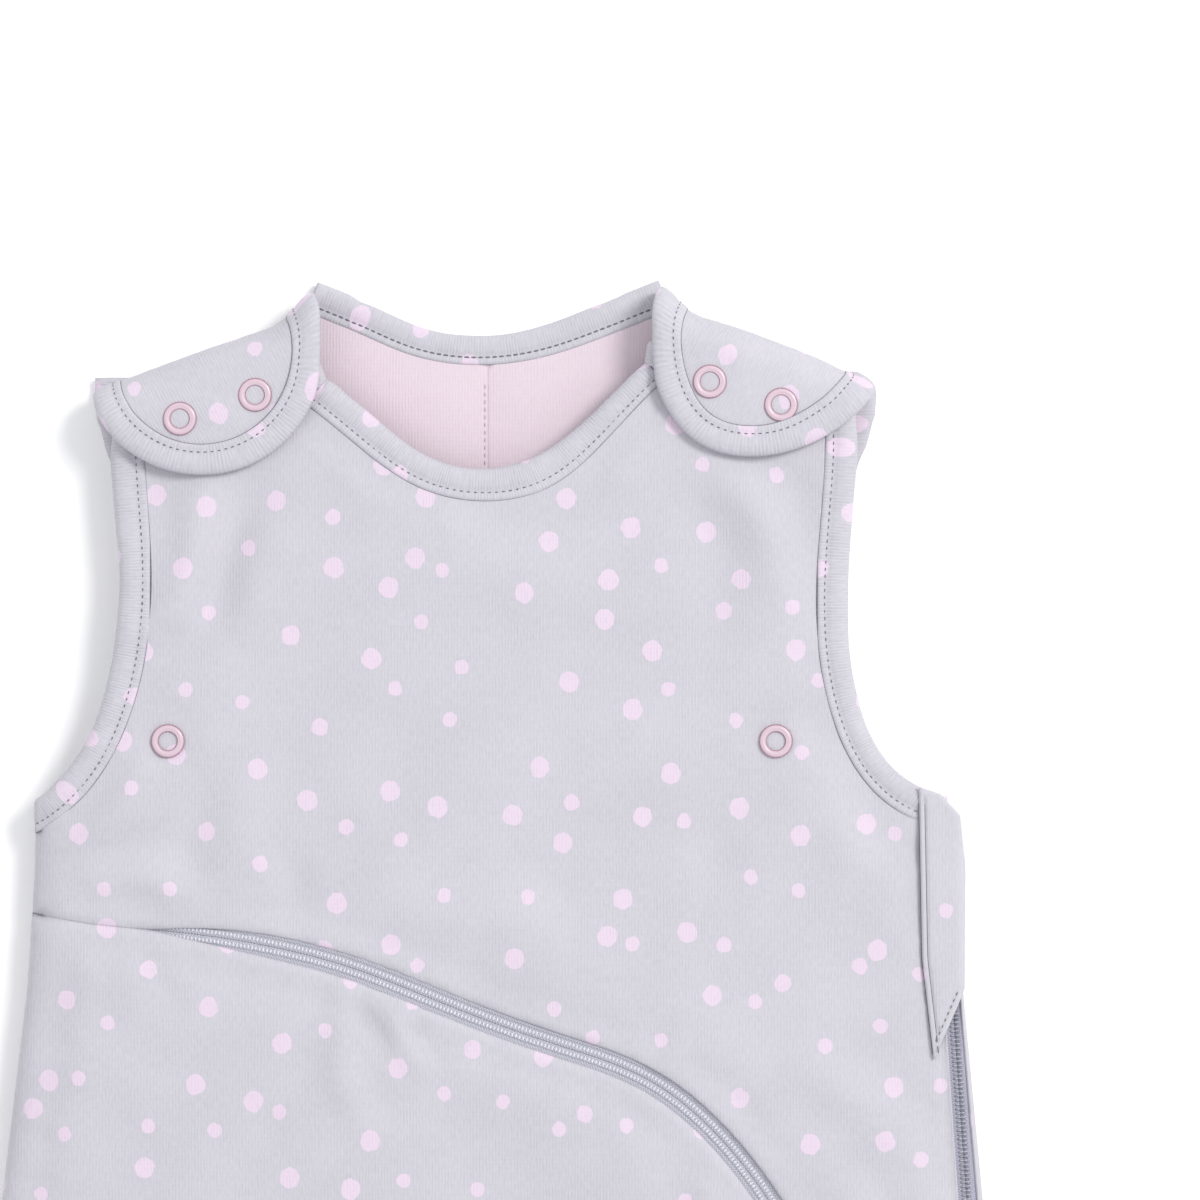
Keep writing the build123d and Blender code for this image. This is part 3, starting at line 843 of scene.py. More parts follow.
# The walls

LINING = 0.8 * MM
LEAST_THICK = 0.35 * MM
LEAST_SHARE = 0.301
FRONT_FLOOR = FRONT_LOW + 1.1 * MM
SNAP_CLEAR = 4 * MM

# The cloth simulation: its grid and frames, how firmly the face is held, and how its movement is scaled
SETTLE_GRID = 7.0 * MM
SETTLE_FRAMES = 20
SETTLE_HOLD = 0.30
SETTLE_EDGE = 35 * MM
SETTLE_WIDE = 20 * MM
SETTLE_DEPTH = 0.7 * MM
SETTLE_CAP = 1.6 * MM


def snap_room(points):
    """How far each point is from the nearest snap on the front."""
    centres = list(front_snaps)
    for _, name in SIDES:
        centres += [loop.mean(0) for loop in loops(f"{name}_flap_snap_rings")]
    return np.min([np.linalg.norm(points - centre, axis=1) for centre in centres], axis=0) - SNAP_CLEAR


def widened(loop):
    """The front's outline with its edge beside the side zip brought nearer to the chain."""
    loop = spaced(loop, 2.0 * MM)
    run, away = nearest_run(loop, fine(side_line))
    edge = (away < TAPE_REACH) & (run > 0) & (run < run_of(side_line)[-1] - 4 * MM)
    loop[edge, 0] += 1.2 * MM
    return loop


def settled(flat, loop, height):
    """The small wrinkles of a panel's cloth, at each of its points, in a cloth simulation's pattern.

    A closed pillow is run whose cloth is a little too big near its edge. Its face moves by only
    micrometres. The broad part of that movement is taken out, and the rest is scaled up to SETTLE_DEPTH.
    """
    coarse = Flat(loop, SETTLE_GRID, rows=())
    places, count = coarse.points, len(coarse.points)
    upper, lower = raised(places, height(places)), raised(places, FRONT_FLOOR - 1 * MM)
    cloth = plump("settling", coarse, upper, lower, outer_jersey)
    edge = gap(places, edge_of(loop))
    held = cloth.vertex_groups.new(name="held")
    loose = cloth.vertex_groups.new(name="loose")
    for i in range(count):
        held.add([i], 1.0 if edge[i] < 1 * MM else SETTLE_HOLD, "REPLACE")
        held.add([i + count], 1.0, "REPLACE")
        loose.add([i, i + count], float(math.exp(-edge[i] / SETTLE_EDGE)), "REPLACE")
    settings = cloth.modifiers.new("cloth", "CLOTH").settings
    settings.quality = 5
    settings.mass = 0.15
    settings.tension_stiffness = settings.compression_stiffness = 20
    settings.bending_stiffness = 0.05
    settings.vertex_group_mass = "held"
    settings.pin_stiffness = 1.0
    settings.vertex_group_shrink = "loose"
    settings.shrink_max = -0.06
    settings.use_pressure = True
    settings.uniform_pressure_force = 0.4
    settings.effector_weights.gravity = 0
    scene = bpy.context.scene
    for frame_number in range(1, SETTLE_FRAMES + 1):
        scene.frame_set(frame_number)
    ready = cloth.evaluated_get(bpy.context.evaluated_depsgraph_get()).to_mesh()
    rise = np.array([vertex.co.z for vertex in ready.vertices][:count]) - upper[:, 2]
    bpy.data.objects.remove(cloth)
    scene.frame_set(1)
    apart = np.linalg.norm(places[:, None] - places[None], axis=2)
    share = hump(apart, SETTLE_WIDE)
    rise -= share @ rise / share.sum(1)
    rise = SETTLE_CAP * np.tanh(rise * SETTLE_DEPTH / (rise.std() * SETTLE_CAP))
    tree = tree_of(places)
    found = []
    for x, y in flat.points:
        near = tree.find_n((x, y, 0), 9)
        weights = [math.exp(-((hit[2] / (0.62 * SETTLE_GRID)) ** 2)) + 1e-9 for hit in near]
        found.append(sum(w * rise[hit[1]] for w, hit in zip(weights, near)) / sum(weights))
    return np.array(found)


def wall(name, loop, nodes, moves):
    """A padded front panel: jersey, and the quilted side that the lining hangs from."""
    flat = Flat(loop, GRID)
    top = front_z(flat.points)
    free = np.minimum(gap(flat.points, edge_of(loop)), snap_room(flat.points))
    top += settled(flat, loop, front_z) * softly(free, 3 * MM, 9 * MM)
    low = np.minimum(FRONT_FLOOR, top - LEAST_THICK)
    upper, lower = raised(flat.points, top), raised(flat.points, low)
    piece = plump(name, flat, upper, lower, outer_jersey, lining_jersey)
    finish(piece, nodes, moves)


def front_lining(name, loop, nodes, moves):
    flat = Flat(loop, BACK_GRID, rows=(1.0,))
    ceiling = np.minimum(FRONT_FLOOR, front_z(flat.points) - LEAST_THICK) - 0.06 * MM
    free = softly(gap(flat.points, edge_of(loop)), 0, 12 * MM)
    sag = 0.35 * MM * (1 + rumpled(flat.points, 26, 5.5)) * free
    upper = raised(flat.points, ceiling - sag)
    lower = raised(flat.points, ceiling - sag - LINING)
    piece = plump(name, flat, upper, lower, lining_jersey)
    finish(piece, nodes, moves)
    declare_sheet(flat)


def fronts():
    wall("front_upper", widened(upper_loop), ["front_upper_outer", "front_upper_wadding"], "bag")
    wall("front_lower", lower_loop, [
        "front_lower_outer", "front_lower_wadding", "opening_flap_outer", "opening_flap_wadding",
    ], bend_opening)
    lower = merged(outline("front_lower_lining"), outline("opening_flap_lining"), PANEL_GAP)
    front_lining("front_upper_inner", outline("front_upper_lining"), ["front_upper_lining"], "bag")
    front_lining("front_lower_inner", lower, ["front_lower_lining", "opening_flap_lining"], bend_opening)


# The straps' turn over the shoulders: its radius and height, where it starts, and its swell at the neck
SHOULDER_R = (FLAP_MID - BACK_MID) / 2
SHOULDER_Z = (FLAP_MID + BACK_MID) / 2
SHOULDER_IN = SHOULDER_R + 0.9 * MM
SHOULDER_SWELL = 7.5 * MM
NECK_SHIFT = 2.8 * MM
STRAP_HALF = 35 * MM


class Shoulder:
    """One shoulder's fold line, and the turn of the strap's cloth round it."""

    def __init__(self, side, name):
        self.side, self.name = side, name
        joint = JOINTS[f"{name}_flap_fold"]
        self.middle = np.array(joint["pos_m"][:2])
        self.inward = inward(f"{name}_flap_fold")
        self.along = np.array([-self.inward[1], self.inward[0]])
        self.neckward = -side * np.sign(self.along[0])

    def depth(self, points):
        """How far inside the fold line each point is."""
        return (points - self.middle) @ self.inward

    def share(self, points):
        """How far along the fold line each point is: 1 at the neck's side and -1 at the arm's."""
        return (points - self.middle) @ self.along * self.neckward / STRAP_HALF

    def swell(self, points):
        """How far the strap's fold stands out past the fold line: most at the neck."""
        share = self.share(points)
        over = (1.0 + 1.4 * (self.side > 0)) * MM * np.clip(1 - share * share, 0, 1)
        return over + SHOULDER_SWELL * softly(share, 0.58, 1.12)

    def turned(self, points, height):
        """Points of the flat flap cloth, some past the fold line, laid round the fold to the back wall."""
        swell = self.swell(points)
        aside = NECK_SHIFT * softly(self.share(points), 0.35, 1.1)
        aside = aside * softly(self.depth(points), 22 * MM, 5 * MM)
        points = points + (aside * self.neckward)[:, None] * self.along
        points = points - (swell * softly(self.depth(points), 24 * MM, 9 * MM))[:, None] * self.inward
        depth = self.depth(points) + swell
        angle = np.clip((SHOULDER_IN - depth) / SHOULDER_R, 0, math.pi)
        past = np.maximum((SHOULDER_IN - depth) - math.pi * SHOULDER_R, 0)
        reach = SHOULDER_R + height
        new_depth = np.where(depth > SHOULDER_IN, depth, SHOULDER_IN - reach * np.sin(angle) + past)
        z = np.where(depth > SHOULDER_IN, FLAP_MID + height, SHOULDER_Z + reach * np.cos(angle))
        moved = points + (new_depth - depth)[:, None] * self.inward
        return np.column_stack([moved, np.maximum(z, 0.06 * MM)])

    def bend(self, piece):
        """Bake the piece's transform into its mesh."""
        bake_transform(piece)


shoulders = {name: Shoulder(side, name) for side, name in SIDES}


def clear_of_shoulders(points):
    """Back-wall points moved in from the fold lines, where the strap's cloth turns up."""
    points = points.copy()
    for shoulder in shoulders.values():
        depth = shoulder.depth(points)
        limit = SHOULDER_IN - shoulder.swell(points)
        near = (np.abs((points - shoulder.middle) @ shoulder.along) < 34 * MM) & (depth < limit)
        near &= np.sign(points[:, 0]) == shoulder.side
        points[near] += (limit - depth)[near][:, None] * shoulder.inward
    return points


def backs():
    """The padded back, and its lining in two halves sewn down the middle."""
    loop = clear_of_shoulders(spaced(back_loop, 2.0 * MM))
    flat = Flat(loop, BACK_GRID)
    low = back_z(flat.points)
    top = np.maximum(BACK_TOP - LINING, low + LEAST_THICK)
    upper, lower = raised(flat.points, top), raised(flat.points, low)
    piece = plump("back_outer", flat, upper, lower, lining_jersey, outer_jersey)
    finish(piece, ["back_outer_panel", "back_wadding"])
    for _, name in SIDES:
        loop = clear_of_shoulders(spaced(outline(f"back_lining_{name}"), 2.0 * MM))
        flat = Flat(loop, BACK_GRID, rows=(0.5, 1.4))
        low = np.maximum(BACK_TOP - LINING, back_z(flat.points) + LEAST_THICK) + 0.05 * MM
        seam = 0.2 * MM * hump(flat.points[:, 0], 0.9 * MM)
        wave = 0.3 * MM * (1 + rumpled(flat.points, 30, 6.5))
        wave *= softly(gap(flat.points, back_edge), 0, 14 * MM)
        wave *= softly(np.abs(flat.points[:, 0]), 2 * MM, 12 * MM)
        top = low + LINING + wave - seam
        upper, lower = raised(flat.points, top), raised(flat.points, low)
        piece = plump(f"back_inner_{name}", flat, upper, lower, lining_jersey)
        finish(piece, [f"back_lining_{name}"])
        declare_sheet(flat)
    seam_line = raised([(-0.8 * MM, y) for y in np.arange(0.26, 0.324, 2.3 * MM)], BACK_TOP + 0.18 * MM)
    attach(join("back_seam_thread", stitch_row(seam_line, 0.7 * MM, 0.2 * MM), pink_thread), "bag")


# Bound edges

# The section of a binding: across it from its sewn edge to its outer edge, and its height from its middle
BINDING_SECTION = (
    (-0.05, 1.9), (-0.03, 2.35), (0.05, 2.6), (0.15, 2.55), (0.25, 2.2), (0.34, 2.6),
    (0.55, 2.95), (0.75, 2.7), (0.90, 2.0), (0.98, 1.0), (1.0, 0.0),
)
STRIP_STEP = 1.5 * MM
STRIP_REACH = 0.7 * MM
ARM_FLARE = 6 * MM


class Strip:
    """A binding: the line where it is sewn to its panel, and how far it reaches from there."""

    def __init__(self, node, panel_edge):
        loop = spaced(outline(node), 1.0 * MM)
        sewn = gap(loop, panel_edge) < STRIP_REACH
        starts = np.flatnonzero(sewn & ~np.roll(sewn, 1))
        best = max(starts, key=lambda start: np.argmin(np.roll(sewn, -start)))
        loop, sewn = np.roll(loop, -best, 0), np.roll(sewn, -best)
        count = int(np.argmin(sewn))
        self.line = even(loop[:count], STRIP_STEP)
        self.outer = loop[count:]
        self.out = left_of(self.line)
        self.width = self.widths()
        self.limits = None

    def widths(self):
        """How far the strip's outer edge is from each point of its line, smoothed."""
        a, b = self.outer[:-1], self.outer[1:]
        found = []
        for point, out in zip(self.line, self.out):
            side = np.array([-out[1], out[0]])
            across_a, across_b = (a - point) @ side, (b - point) @ side
            cuts = (across_a * across_b <= 0) & (np.abs(across_a - across_b) > 1e-9)
            share = across_a[cuts] / (across_a - across_b)[cuts]
            reach = ((a[cuts] - point) @ out) * (1 - share) + ((b[cuts] - point) @ out) * share
            reach = reach[(reach > 2 * MM) & (reach < 14 * MM)]
            found.append(reach.min() if len(reach) else np.nan)
        middle = np.nanmedian(found)
        found = np.where(np.isnan(found), middle, found)
        return smoothed(np.clip(found, 0.7 * middle, 2.2 * middle), 6)

    def carry_on(self, first, last, length):
        """Carry the strip on past both ends, each in its own direction."""
        ahead = np.arange(1, int(length / STRIP_STEP) + 1)[:, None] * STRIP_STEP
        self.line = np.vstack([self.line[0] + first * ahead[::-1], self.line, self.line[-1] + last * ahead])
        self.out = left_of(self.line)
        self.width = np.pad(self.width, len(ahead), "edge")

    def lengthen(self, length):
        """Carry the strip straight on past both ends, from a little way in."""
        line = self.line = self.line[5:-5]
        self.width = self.width[5:-5]
        self.carry_on(units(line[0] - line[4]), units(line[-1] - line[-5]), length)

    def skin(self, name, middle, place, scale, seed):
        """The strip's mesh. place turns flat points and heights into points in space."""
        section = [*BINDING_SECTION, *((u, -h) for u, h in reversed(BINDING_SECTION[:-1]))]
        run = run_of(self.line)
        wave = wobble_along(run, 60, seed, 0) * 0.18 * MM
        puff = 1 + 0.10 * wobble_along(run, 130, seed, 5)
        steps = [math.hypot((b[0] - a[0]) * 6, b[1] - a[1]) * MM for a, b in zip(section, section[1:])]
        rings = []
        for u, h in section:
            flat = self.line + self.out * (u * self.width + wave * u)[:, None]
            if self.limits:
                flat[:, 0] = np.clip(flat[:, 0], *self.limits)
            rings.append(place(flat, middle + scale * h * MM * puff))
        return tube(name, np.stack(rings, axis=1), laid_out(run, np.cumsum([0] + steps)), binding_jersey)

    def sewing(self, name, middle, place, scale, size=1.0):
        """The sewing and a painted shadow: a dark thread line just off the sewn edge, standing in for the
        shadow where the binding meets the panel, and stitches along the strip's top.
        """
        # Painted shadow: a dark thread line just beside the panel, where the binding's sewn edge casts shade
        painted_shadow_line = place(self.line - self.out * (0.35 * MM), middle + scale * 2.02 * MM)
        height = np.interp(STITCH_AT, *zip(*BINDING_SECTION[:5])) * scale * MM
        flat = self.line + self.out * (STITCH_AT * self.width)[:, None]
        path = even(place(flat, middle + height + 0.02 * MM), STITCH_PITCH)
        stitches = stitch_row(path, 0.26 * STITCH_PITCH * size, 0.21 * size * MM)[1:-1]
        return join(name, [sewn_line(painted_shadow_line, self.out), *stitches], stitch_thread)


def smoothed(values, reach):
    """Each value made the mean of those around it."""
    return np.convolve(np.pad(values, reach, "edge"), np.ones(2 * reach + 1) / (2 * reach + 1), "valid")


def wobble_along(run, scale, seed, layer):
    return np.array([noise.noise((r * scale, seed, layer)) for r in run])


def sewn_line(path, out, thick=0.17 * MM):
    """A thin thread lying along a path, as (verts, faces)."""
    over = np.cross(units(np.gradient(path, axis=0)), raised(out, 0))
    verts, faces = [], []
    for point, side, up in zip(path, out, over):
        for turn in range(4):
            angle = math.pi / 2 * turn
            reach = Vector((*side, 0)) * math.cos(angle) + Vector(up) * math.sin(angle)
            verts.append(Vector(point) + reach * thick)
    for i in range(len(path) - 1):
        for j in range(4):
            k = (j + 1) % 4
            faces.append((i * 4 + j, i * 4 + k, i * 4 + 4 + k, i * 4 + 4 + j))
    faces += [(3, 2, 1, 0), tuple(range(len(verts) - 4, len(verts)))]
    return verts, faces


def bind_edge(name, node, panel_edge, height, scale, seed, taper=False, flare=0.0, past=0.0, size=1.0):
    """A binding along one edge, with its stitches and a dark line of painted shadow at its sewn edge."""
    strip = Strip(node, panel_edge)
    if taper:
        strip.width[:3] *= (0.45, 0.75, 0.93)
        strip.width[-3:] *= (0.93, 0.75, 0.45)
    strip.width += flare * softly(strip.line[:, 1], 0.292, 0.322)
    if "_arm_" in name:
        low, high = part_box(node)
        strip.limits = (low.x, high.x)
    if past:
        strip.lengthen(past)
    middle = smoothed(height(strip.line - strip.out * 0.8 * MM), 4)
    finish(strip.skin(name, middle, raised, scale, seed), [node])
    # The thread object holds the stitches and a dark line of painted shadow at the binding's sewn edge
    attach(strip.sewing(f"{name}_thread", middle, raised, scale, size), "bag")


def front_edge_z(points):
    return front_z(points) - 2.05 * MM


def back_edge_z(points):
    return np.maximum(back_z(points), 0) + 2.2 * MM


def back_neck_z(points):
    return np.full(len(points), 2.35 * MM)


def edges_bound():
    """The neck and armhole edges, front and back."""
    bind_edge("neck_front_edge", "front_neck_binding", upper_edge, front_edge_z, 1.0, 1.0, taper=True)
    for side, name in SIDES:
        bind_edge(f"{name}_arm_front_edge", f"{name}_front_armhole_binding", upper_edge, front_edge_z,
                  1.0, 3.0 + side)
        bind_edge(f"{name}_arm_back_edge", f"{name}_back_armhole_binding", back_edge, back_edge_z,
                  0.72, 8.0 + side, taper=side > 0, flare=ARM_FLARE)
    bind_edge("neck_back_edge", "back_neck_binding", back_edge, back_neck_z, 0.78, 5.0,
              past=11 * MM, size=1.5)


# Shoulder flaps

FLAP_FOLDS = {
    "left": (((-108, 306), (-62, 318), 0.7, 6.0), ((-70, 330), (-62, 306), 0.6, 5.0)),
    "right": (
        ((104, 306), (60, 322), 0.7, 6.0), ((74, 336), (66, 306), 0.6, 5.0), ((96, 326), (84, 306), 0.5, 5.0),
    ),
}
FLAP_KNIT_SLANT = math.radians(28)
FLAP_EDGE_SCALE = 0.68


def turn_cloth(piece, angle):
    """Lay a piece's knit and dots at a slant."""
    layer = piece.data.uv_layers[0].data
    places = np.zeros(2 * len(layer))
    layer.foreach_get("uv", places)
    cos, sin = math.cos(angle), math.sin(angle)
    layer.foreach_set("uv", (places.reshape(-1, 2) @ np.array([[cos, sin], [-sin, cos]])).ravel())


def flap(shoulder):
    """One shoulder flap and the strap's turn over the shoulder, with its bound edge."""
    name = shoulder.name
    loop = spaced(outline(f"{name}_flap_outer"), 1.2 * MM)
    edge = edge_of(loop)
    root = shoulder.depth(loop) < 1.6 * MM
    start = int(np.flatnonzero(~root & np.roll(root, 1))[0])
    chain = np.roll(loop, -start, 0)[np.roll(~root, -start)]
    away = -shoulder.inward * FOLD_REACH
    border = np.vstack([chain[:1] + away, chain, chain[-1:] + away])
    flat = Flat(border, 2.4 * MM, rows=(0.5, 1.4))
    depth = shoulder.depth(flat.points)
    near_fold = softly(depth, 22 * MM, 4 * MM)
    loose = softly(gap(flat.points, edge_of(border)), 1 * MM, 9 * MM)
    wave = 0.35 * MM * rumpled(flat.points, 40, 2.0 + shoulder.side)
    wave = loose * (wave + folded(flat.points, FLAP_FOLDS[name]))
    for snap in loops(f"{name}_flap_snap_rings"):
        wave *= softly(np.linalg.norm(flat.points - snap.mean(0), axis=1), 5 * MM, 9 * MM)
    half = MM * (1.0 + 0.5 * near_fold + 0.25 * loose * (1 - near_fold))
    upper = shoulder.turned(flat.points, wave + half)
    lower = shoulder.turned(flat.points, -half + 0.3 * wave)
    piece = plump(f"{name}_strap", flat, upper, lower, outer_jersey, lining_jersey)
    turn_cloth(piece, FLAP_KNIT_SLANT * shoulder.side)
    covers = [f"{name}_flap_outer", f"{name}_flap_lining", f"{name}_shoulder_fold"]
    finish(piece, covers, shoulder.bend)
    declare_sheet(flat)

    strip = Strip(f"{name}_flap_binding", edge)
    strip.carry_on(-shoulder.inward, -shoulder.inward, FOLD_REACH)
    middle = np.full(len(strip.line), 0.2 * MM)
    bound = strip.skin(f"{name}_strap_edge", middle, shoulder.turned, FLAP_EDGE_SCALE, 12.0 + shoulder.side)
    finish(bound, [f"{name}_flap_binding"], shoulder.bend)
    # The strap edge's thread object also holds a dark line of painted shadow at the binding's sewn edge
    shoulder.bend(strip.sewing(f"{name}_strap_edge_thread", middle, shoulder.turned, FLAP_EDGE_SCALE))


# Ring snaps

RING_SECTION = (
    (2.80, -0.70), (2.80, 0.05), (2.90, 0.34), (3.05, 0.38), (3.20, 0.24), (3.60, 0.46), (4.10, 0.56),
    (4.50, 0.42), (4.66, 0.30), (4.78, 0.42), (4.95, 0.36), (5.06, 0.10), (5.05, -0.40), (4.60, -0.70),
)
RING_TURNS = 44


def ring(centre, up):
    """A ring snap's enamelled face."""
    section = [(radius * MM, height * MM * up) for radius, height in RING_SECTION]
    return lathe(section[::up], centre, RING_TURNS)


def post(centre, top, bottom, radius, cup):
    """A snap's stud or socket: a rounded metal button with a hollow in it if it is a cup."""
    tall, middle, axis = top - bottom, radius * 0.42, 0.05 * MM
    section = [(axis, bottom), (radius * 0.96, bottom), (radius, (top + bottom) / 2), (radius * 0.9, top)]
    if cup:
        section += [(middle * 1.15, top), (middle, top - 0.55 * tall), (axis, top - 0.6 * tall)]
    else:
        section += [(middle * 1.2, top), (middle, top), (axis, top + 0.05 * tall)]
    return lathe(section, (*centre, 0), around=28)


RINGS = {
    "armhole_front_snap_rings": ("bag", 1), "armhole_back_snap_rings": ("bag", -1),
    "left_flap_snap_rings": ("left_flap", 1), "right_flap_snap_rings": ("right_flap", 1),
    "left_strap_snap_rings": ("bag", -1), "right_strap_snap_rings": ("bag", -1),
}
POSTS = {
    "armhole_snap_sockets": "bag", "armhole_snap_studs": "bag",
    "left_flap_snap_sockets": "left_flap", "right_flap_snap_sockets": "right_flap",
    "left_strap_snap_studs": "bag", "right_strap_snap_studs": "bag",
}


def snap_rings(node, body, up):
    """The enamelled rings of one CAD node, facing up or down."""
    low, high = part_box(node)
    z = low.z + 0.3 * MM if up > 0 else high.z - 0.3 * MM
    centres = [(*loop.mean(0), z) for loop in loops(node) if np.ptp(loop[:, 0]) > 8 * MM]
    piece = join(f"{node}_enamel", [ring(centre, up) for centre in centres], snap_enamel)
    radii = [radius * MM for radius, _ in RING_SECTION][::up] * (RING_TURNS * len(centres))
    corners = [loop.vertex_index for loop in piece.data.loops]
    spots = [value for i in corners for value in (radii[i], 0.003 * (i // len(RING_SECTION)))]
    piece.data.uv_layers["cloth"].data.foreach_set("uv", spots)
    finish(piece, [node], body)


def snap_posts(node, body):
    """The metal studs or sockets of one CAD node."""
    low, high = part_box(node)
    centres = []
    for loop in loops(node):
        centre = loop.mean(0)
        if all(np.linalg.norm(centre - other) > 4 * MM for other, _ in centres):
            centres.append((centre, np.ptp(loop[:, 0]) / 2))
    radius = max(size for _, size in centres)
    parts = [post(centre, high.z, low.z, radius, "sockets" in node) for centre, _ in centres]
    finish(join(f"{node}_metal", parts, snap_metal), [node], body)


def snaps():
    for node, (body, up) in RINGS.items():
        snap_rings(node, body, up)
    for node, body in POSTS.items():
        snap_posts(node, body)


# Zips

COIL_PITCH = 1.15 * MM
SIDE_COIL_PITCH = 1.3 * MM

# The section of one half of the front zip's tape: out from the middle, and its height, in millimetres
TAPE_SECTION = (
    (0.03, -0.62), (0.03, -0.12), (0.25, 0.02), (1.00, 0.14), (1.85, 0.12), (2.12, 0.02), (2.32, -0.30),
    (2.52, -0.02), (2.90, 0.08), (3.60, 0.02), (5.20, -0.04), (6.90, -0.10), (6.90, -0.62),
)
SIDE_TAPE_SECTION = (
    (0.05, -0.66), (0.05, -0.40), (1.30, -0.30), (1.60, 0.02), (1.95, -0.12), (2.30, 0.02), (4.20, 0.0),
    (6.80, -0.04), (6.80, -0.62),
)


def ribbon(name, line, side, section, z, material):
    """Tape on one side of a zip's middle line."""
    section = section[::-1] if side > 0 else section
    out = left_of(line) * side
    rings = np.stack([raised(line + out * u * MM, z + h * MM) for u, h in section], 1)
    across = np.array([u for u, _ in section]) * MM
    return tube(name, rings, laid_out(run_of(line), across), material)


def row_of_beads(line, side, off, z, half_size, pitch):
    """Small bars lying across a zip's line, their half sizes across it, along it and up in millimetres."""
    spots = even(line, pitch)
    return [
        bead((*(spot + way * off), z), (*way, 0), *(half * MM for half in half_size))
        for spot, way in zip(spots, left_of(spots) * side)
    ]


def front_zip():
    """The zip that opens the front: two halves of ridged tape, with its coil behind."""
    halves = (
        (1, "front_zip_upper", ("front_zip_upper_tape",), ("front_zip_upper_coil",), "bag"),
        (-1, "front_zip_lower", ("opening_flap_zip_tape", "front_zip_lower_tape_ends"),
         ("opening_flap_zip_coil", "front_zip_lower_coil_ends"), bend_opening),
    )
    line = even(zip_line, 1.6 * MM)
    for side, name, tapes, coils, moves in halves:
        tape = ribbon(f"{name}_web", line, side, TAPE_SECTION, ZIP_TOP, zip_tape)
        finish(tape, tapes, moves)
        bumps = row_of_beads(line, side, 1.35 * MM, ZIP_TOP + 0.12 * MM, (0.70, 0.33, 0.26), COIL_PITCH)
        finish(join(f"{name}_ridges", bumps, zip_ridge), moves=moves)
        coil_turns = row_of_beads(line, side, 1.25 * MM, ZIP_TOP - 1.45 * MM, (0.85, 0.36, 0.72), COIL_PITCH)
        finish(join(f"{name}_turns", coil_turns, zip_coil), coils, moves)


def side_zip():
    """The zip down the side: its coil, showing between two tapes."""
    line = even(side_line, 4 * MM)
    inner = -1 if left_of(line)[0, 0] > 0 else 1
    for side, name in ((inner, "front"), (-inner, "back")):
        tape = ribbon(f"side_zip_{name}_web", line, side, SIDE_TAPE_SECTION, SIDE_ZIP_TOP, side_tape)
        if name == "back":
            trim_to_side(tape)
        finish(tape, [f"side_zip_{name}_tape"])
        coil_turns = row_of_beads(even(side_line, SIDE_COIL_PITCH), side, 0.72 * MM, SIDE_ZIP_TOP - 0.15 * MM,
                                  (0.95, 0.42, 0.62), SIDE_COIL_PITCH)
        finish(join(f"side_zip_{name}_turns", coil_turns, side_coil), [f"side_zip_{name}_coil"])


def side_reach(y):
    """How far out the bag's right side is, at heights up the bag."""
    side = back_edge[back_edge[:, 0] > 0.1]
    side = side[(side[:, 1] < 0.175) & (side[:, 1] > -0.29)]
    order = np.argsort(side[:, 1])
    return np.interp(y, side[order, 1], side[order, 0])


def trim_to_side(tape):
    """Keep the outer tape inside the bag's side."""
    for vertex in tape.data.vertices:
        vertex.co.x = min(vertex.co.x, float(side_reach(vertex.co.y)) - 1.1 * MM)


# The section of the rim outside the side zip: its share of the way out and its height in millimetres,
# then the same two again for the top of the zip, where the back isn't joined and the rim tucks in lower
RIM_SECTION = (
    (0.0, 11.7, 0.0, 11.7), (0.05, 12.45, 0.05, 12.45), (0.20, 12.75, 0.20, 12.75),
    (0.45, 12.70, 0.45, 12.70), (0.70, 12.1, 0.70, 12.1), (0.88, 10.9, 0.88, 10.9), (0.98, 9.4, 0.98, 9.4),
    (1.0, 8.0, 1.0, 7.4), (0.98, 7.0, 1.0, 5.6), (0.90, 6.0, 1.0, 4.0), (0.75, 5.2, 1.0, 2.4),
    (0.50, 4.8, 0.98, 0.9), (0.0, 4.8, 0.80, 0.6),
)


def side_rim():
    """The cloth outside the side zip, from its tape round the bag's side to the back."""
    line = even(side_line, 3 * MM)
    line = line[(line[:, 1] < 0.171)]
    far = side_reach(line[:, 1])
    room = far - line[:, 0]
    start = np.minimum(3.4 * MM, 0.60 * room)
    rise = 0.25 * MM * np.array([noise.noise((y * 45, 3.0, 0)) for y in line[:, 1]])
    open_from = back_joined[back_joined[:, 0] > 0.1][:, 1]
    low = softly(line[:, 1], open_from[open_from < 0.15].max() - 3 * MM, open_from[open_from < 0.15].max())
    rings = []
    for share, z, low_share, low_z in RIM_SECTION:
        reach = start + (room - start) * (share + (low_share - share) * low)
        reach = reach + 0.15 * MM * low * (low_share > share)
        height = (z + (low_z - z) * low) * MM + rise * (z > 9)
        rings.append(raised(line + reach[:, None] * (1, 0), height))
    rings = np.stack(rings, axis=1)
    uvs = laid_out(line[:, 1], run_of(rings[0]) + 0.2)[:, :, ::-1]
    piece = tube("side_rim", rings[:, ::-1], uvs[:, ::-1], outer_jersey)
    finish(piece, ["right_side_fold", "left_side_seam", "hem_seam"])


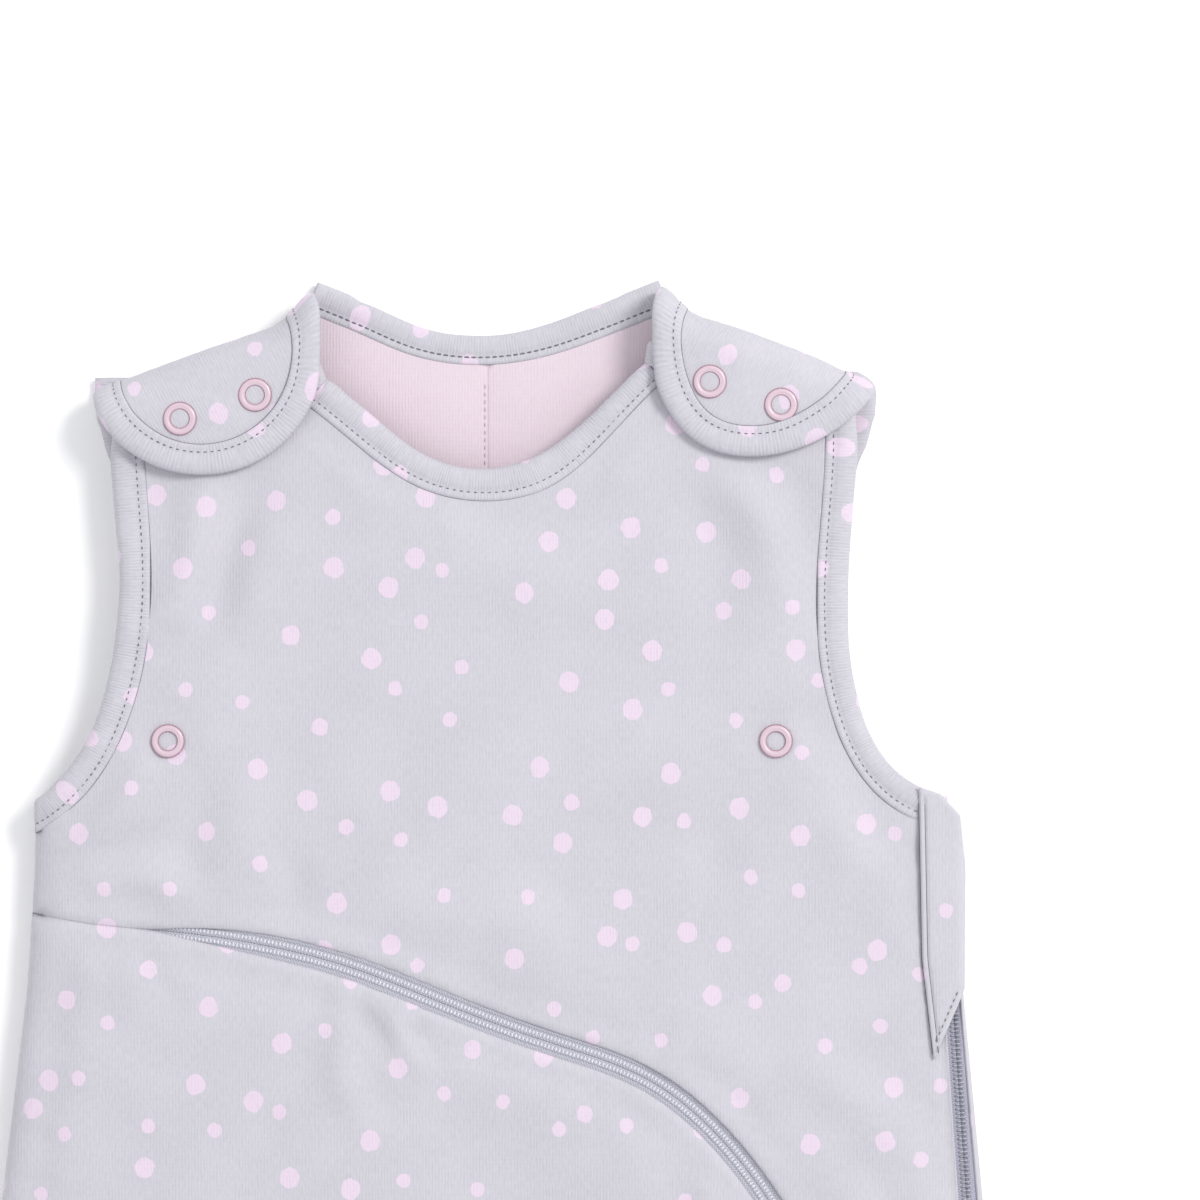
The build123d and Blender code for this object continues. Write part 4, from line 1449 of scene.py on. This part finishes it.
def guard():
    """The patch that covers the top of the side zip."""
    loop = spaced(outline("side_zip_guard"), 1.2 * MM)
    flat = Flat(loop, 2.0 * MM, rows=(0.4, 0.9, 1.4, 1.75, 2.1, 2.8))
    edge = edge_of(loop)
    tip = loop[np.argmin(loop[:, 1])]
    x, y = edge.T
    left_leg = edge[(x < tip[0] + 0.2 * MM) & (y < 0.197) & (y > tip[1] + 1.5 * MM)]
    right_leg = edge[(x > tip[0] + MM) & (y < 0.139) & (y > tip[1] + 5.0 * MM)]
    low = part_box("side_zip_guard")[0].z
    to_edge, to_left, to_right = (gap(flat.points, line) for line in (edge, left_leg, right_leg))
    z = low + 1.55 * MM + 0.25 * MM * rumpled(flat.points, 60, 4.4) * softly(to_edge, MM, 4 * MM)
    z -= 1.15 * MM * rolled(to_edge, 0.9 * MM)
    z -= 0.75 * MM * hump(to_left - 1.7 * MM, 0.35 * MM)
    z -= 0.45 * MM * hump(to_right - 2.0 * MM, 0.4 * MM)
    right_side = side_reach(np.minimum(flat.points[:, 1], 0.17)) - flat.points[:, 0]
    drop = 1.8 * MM * rolled(np.maximum(right_side, 0), 3 * MM) * softly(flat.points[:, 0], 0.138, 0.141)
    upper, lower = raised(flat.points, z - drop), raised(flat.points, low - drop)
    piece = plump("zip_guard_patch", flat, upper, lower, outer_jersey)
    finish(piece, ["side_zip_guard"])
    declare_sheet(flat)
    turned = np.roll(loop, -int(np.argmin(loop[:, 1])), 0)
    turned = even(closed(turned), 1.0 * MM)
    normal = left_of(turned)
    to_left = gap(turned, left_leg) < 0.7 * MM
    to_right = gap(turned, right_leg) < 0.7 * MM
    sewing = []
    for leg, offset, rise in ((to_left, 1.62, 0.95), (to_left, -0.10, 0.35), (to_right, 1.75, 1.32)):
        line, out = turned[leg], normal[leg]
        path = raised(line + out * offset * MM, low + rise * MM)
        order = np.argsort(path[:, 1])
        path, out = path[order], out[order]
        if offset > 1.7:
            sewing += stitch_row(even(path, 2.3 * MM), 0.6 * MM, 0.2 * MM)
        else:
            sewing.append(sewn_line(path, out, 0.15 * MM))
    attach(join("zip_guard_thread", sewing, stitch_thread), "bag")


def carried():
    """The CAD's own metal pieces get their material."""
    for zip_name in ("front_zip", "side_zip"):
        for part in ("slider", "pull", "bottom_stop"):
            mesh = frame["nodes"][f"{zip_name}_{part}"].data
            mesh.materials.clear()
            mesh.materials.append(slider_metal)


# The whole thing

stage()
camera()
fronts()
backs()
edges_bound()
for one in shoulders.values():
    flap(one)
snaps()
front_zip()
side_zip()
side_rim()
guard()
carried()
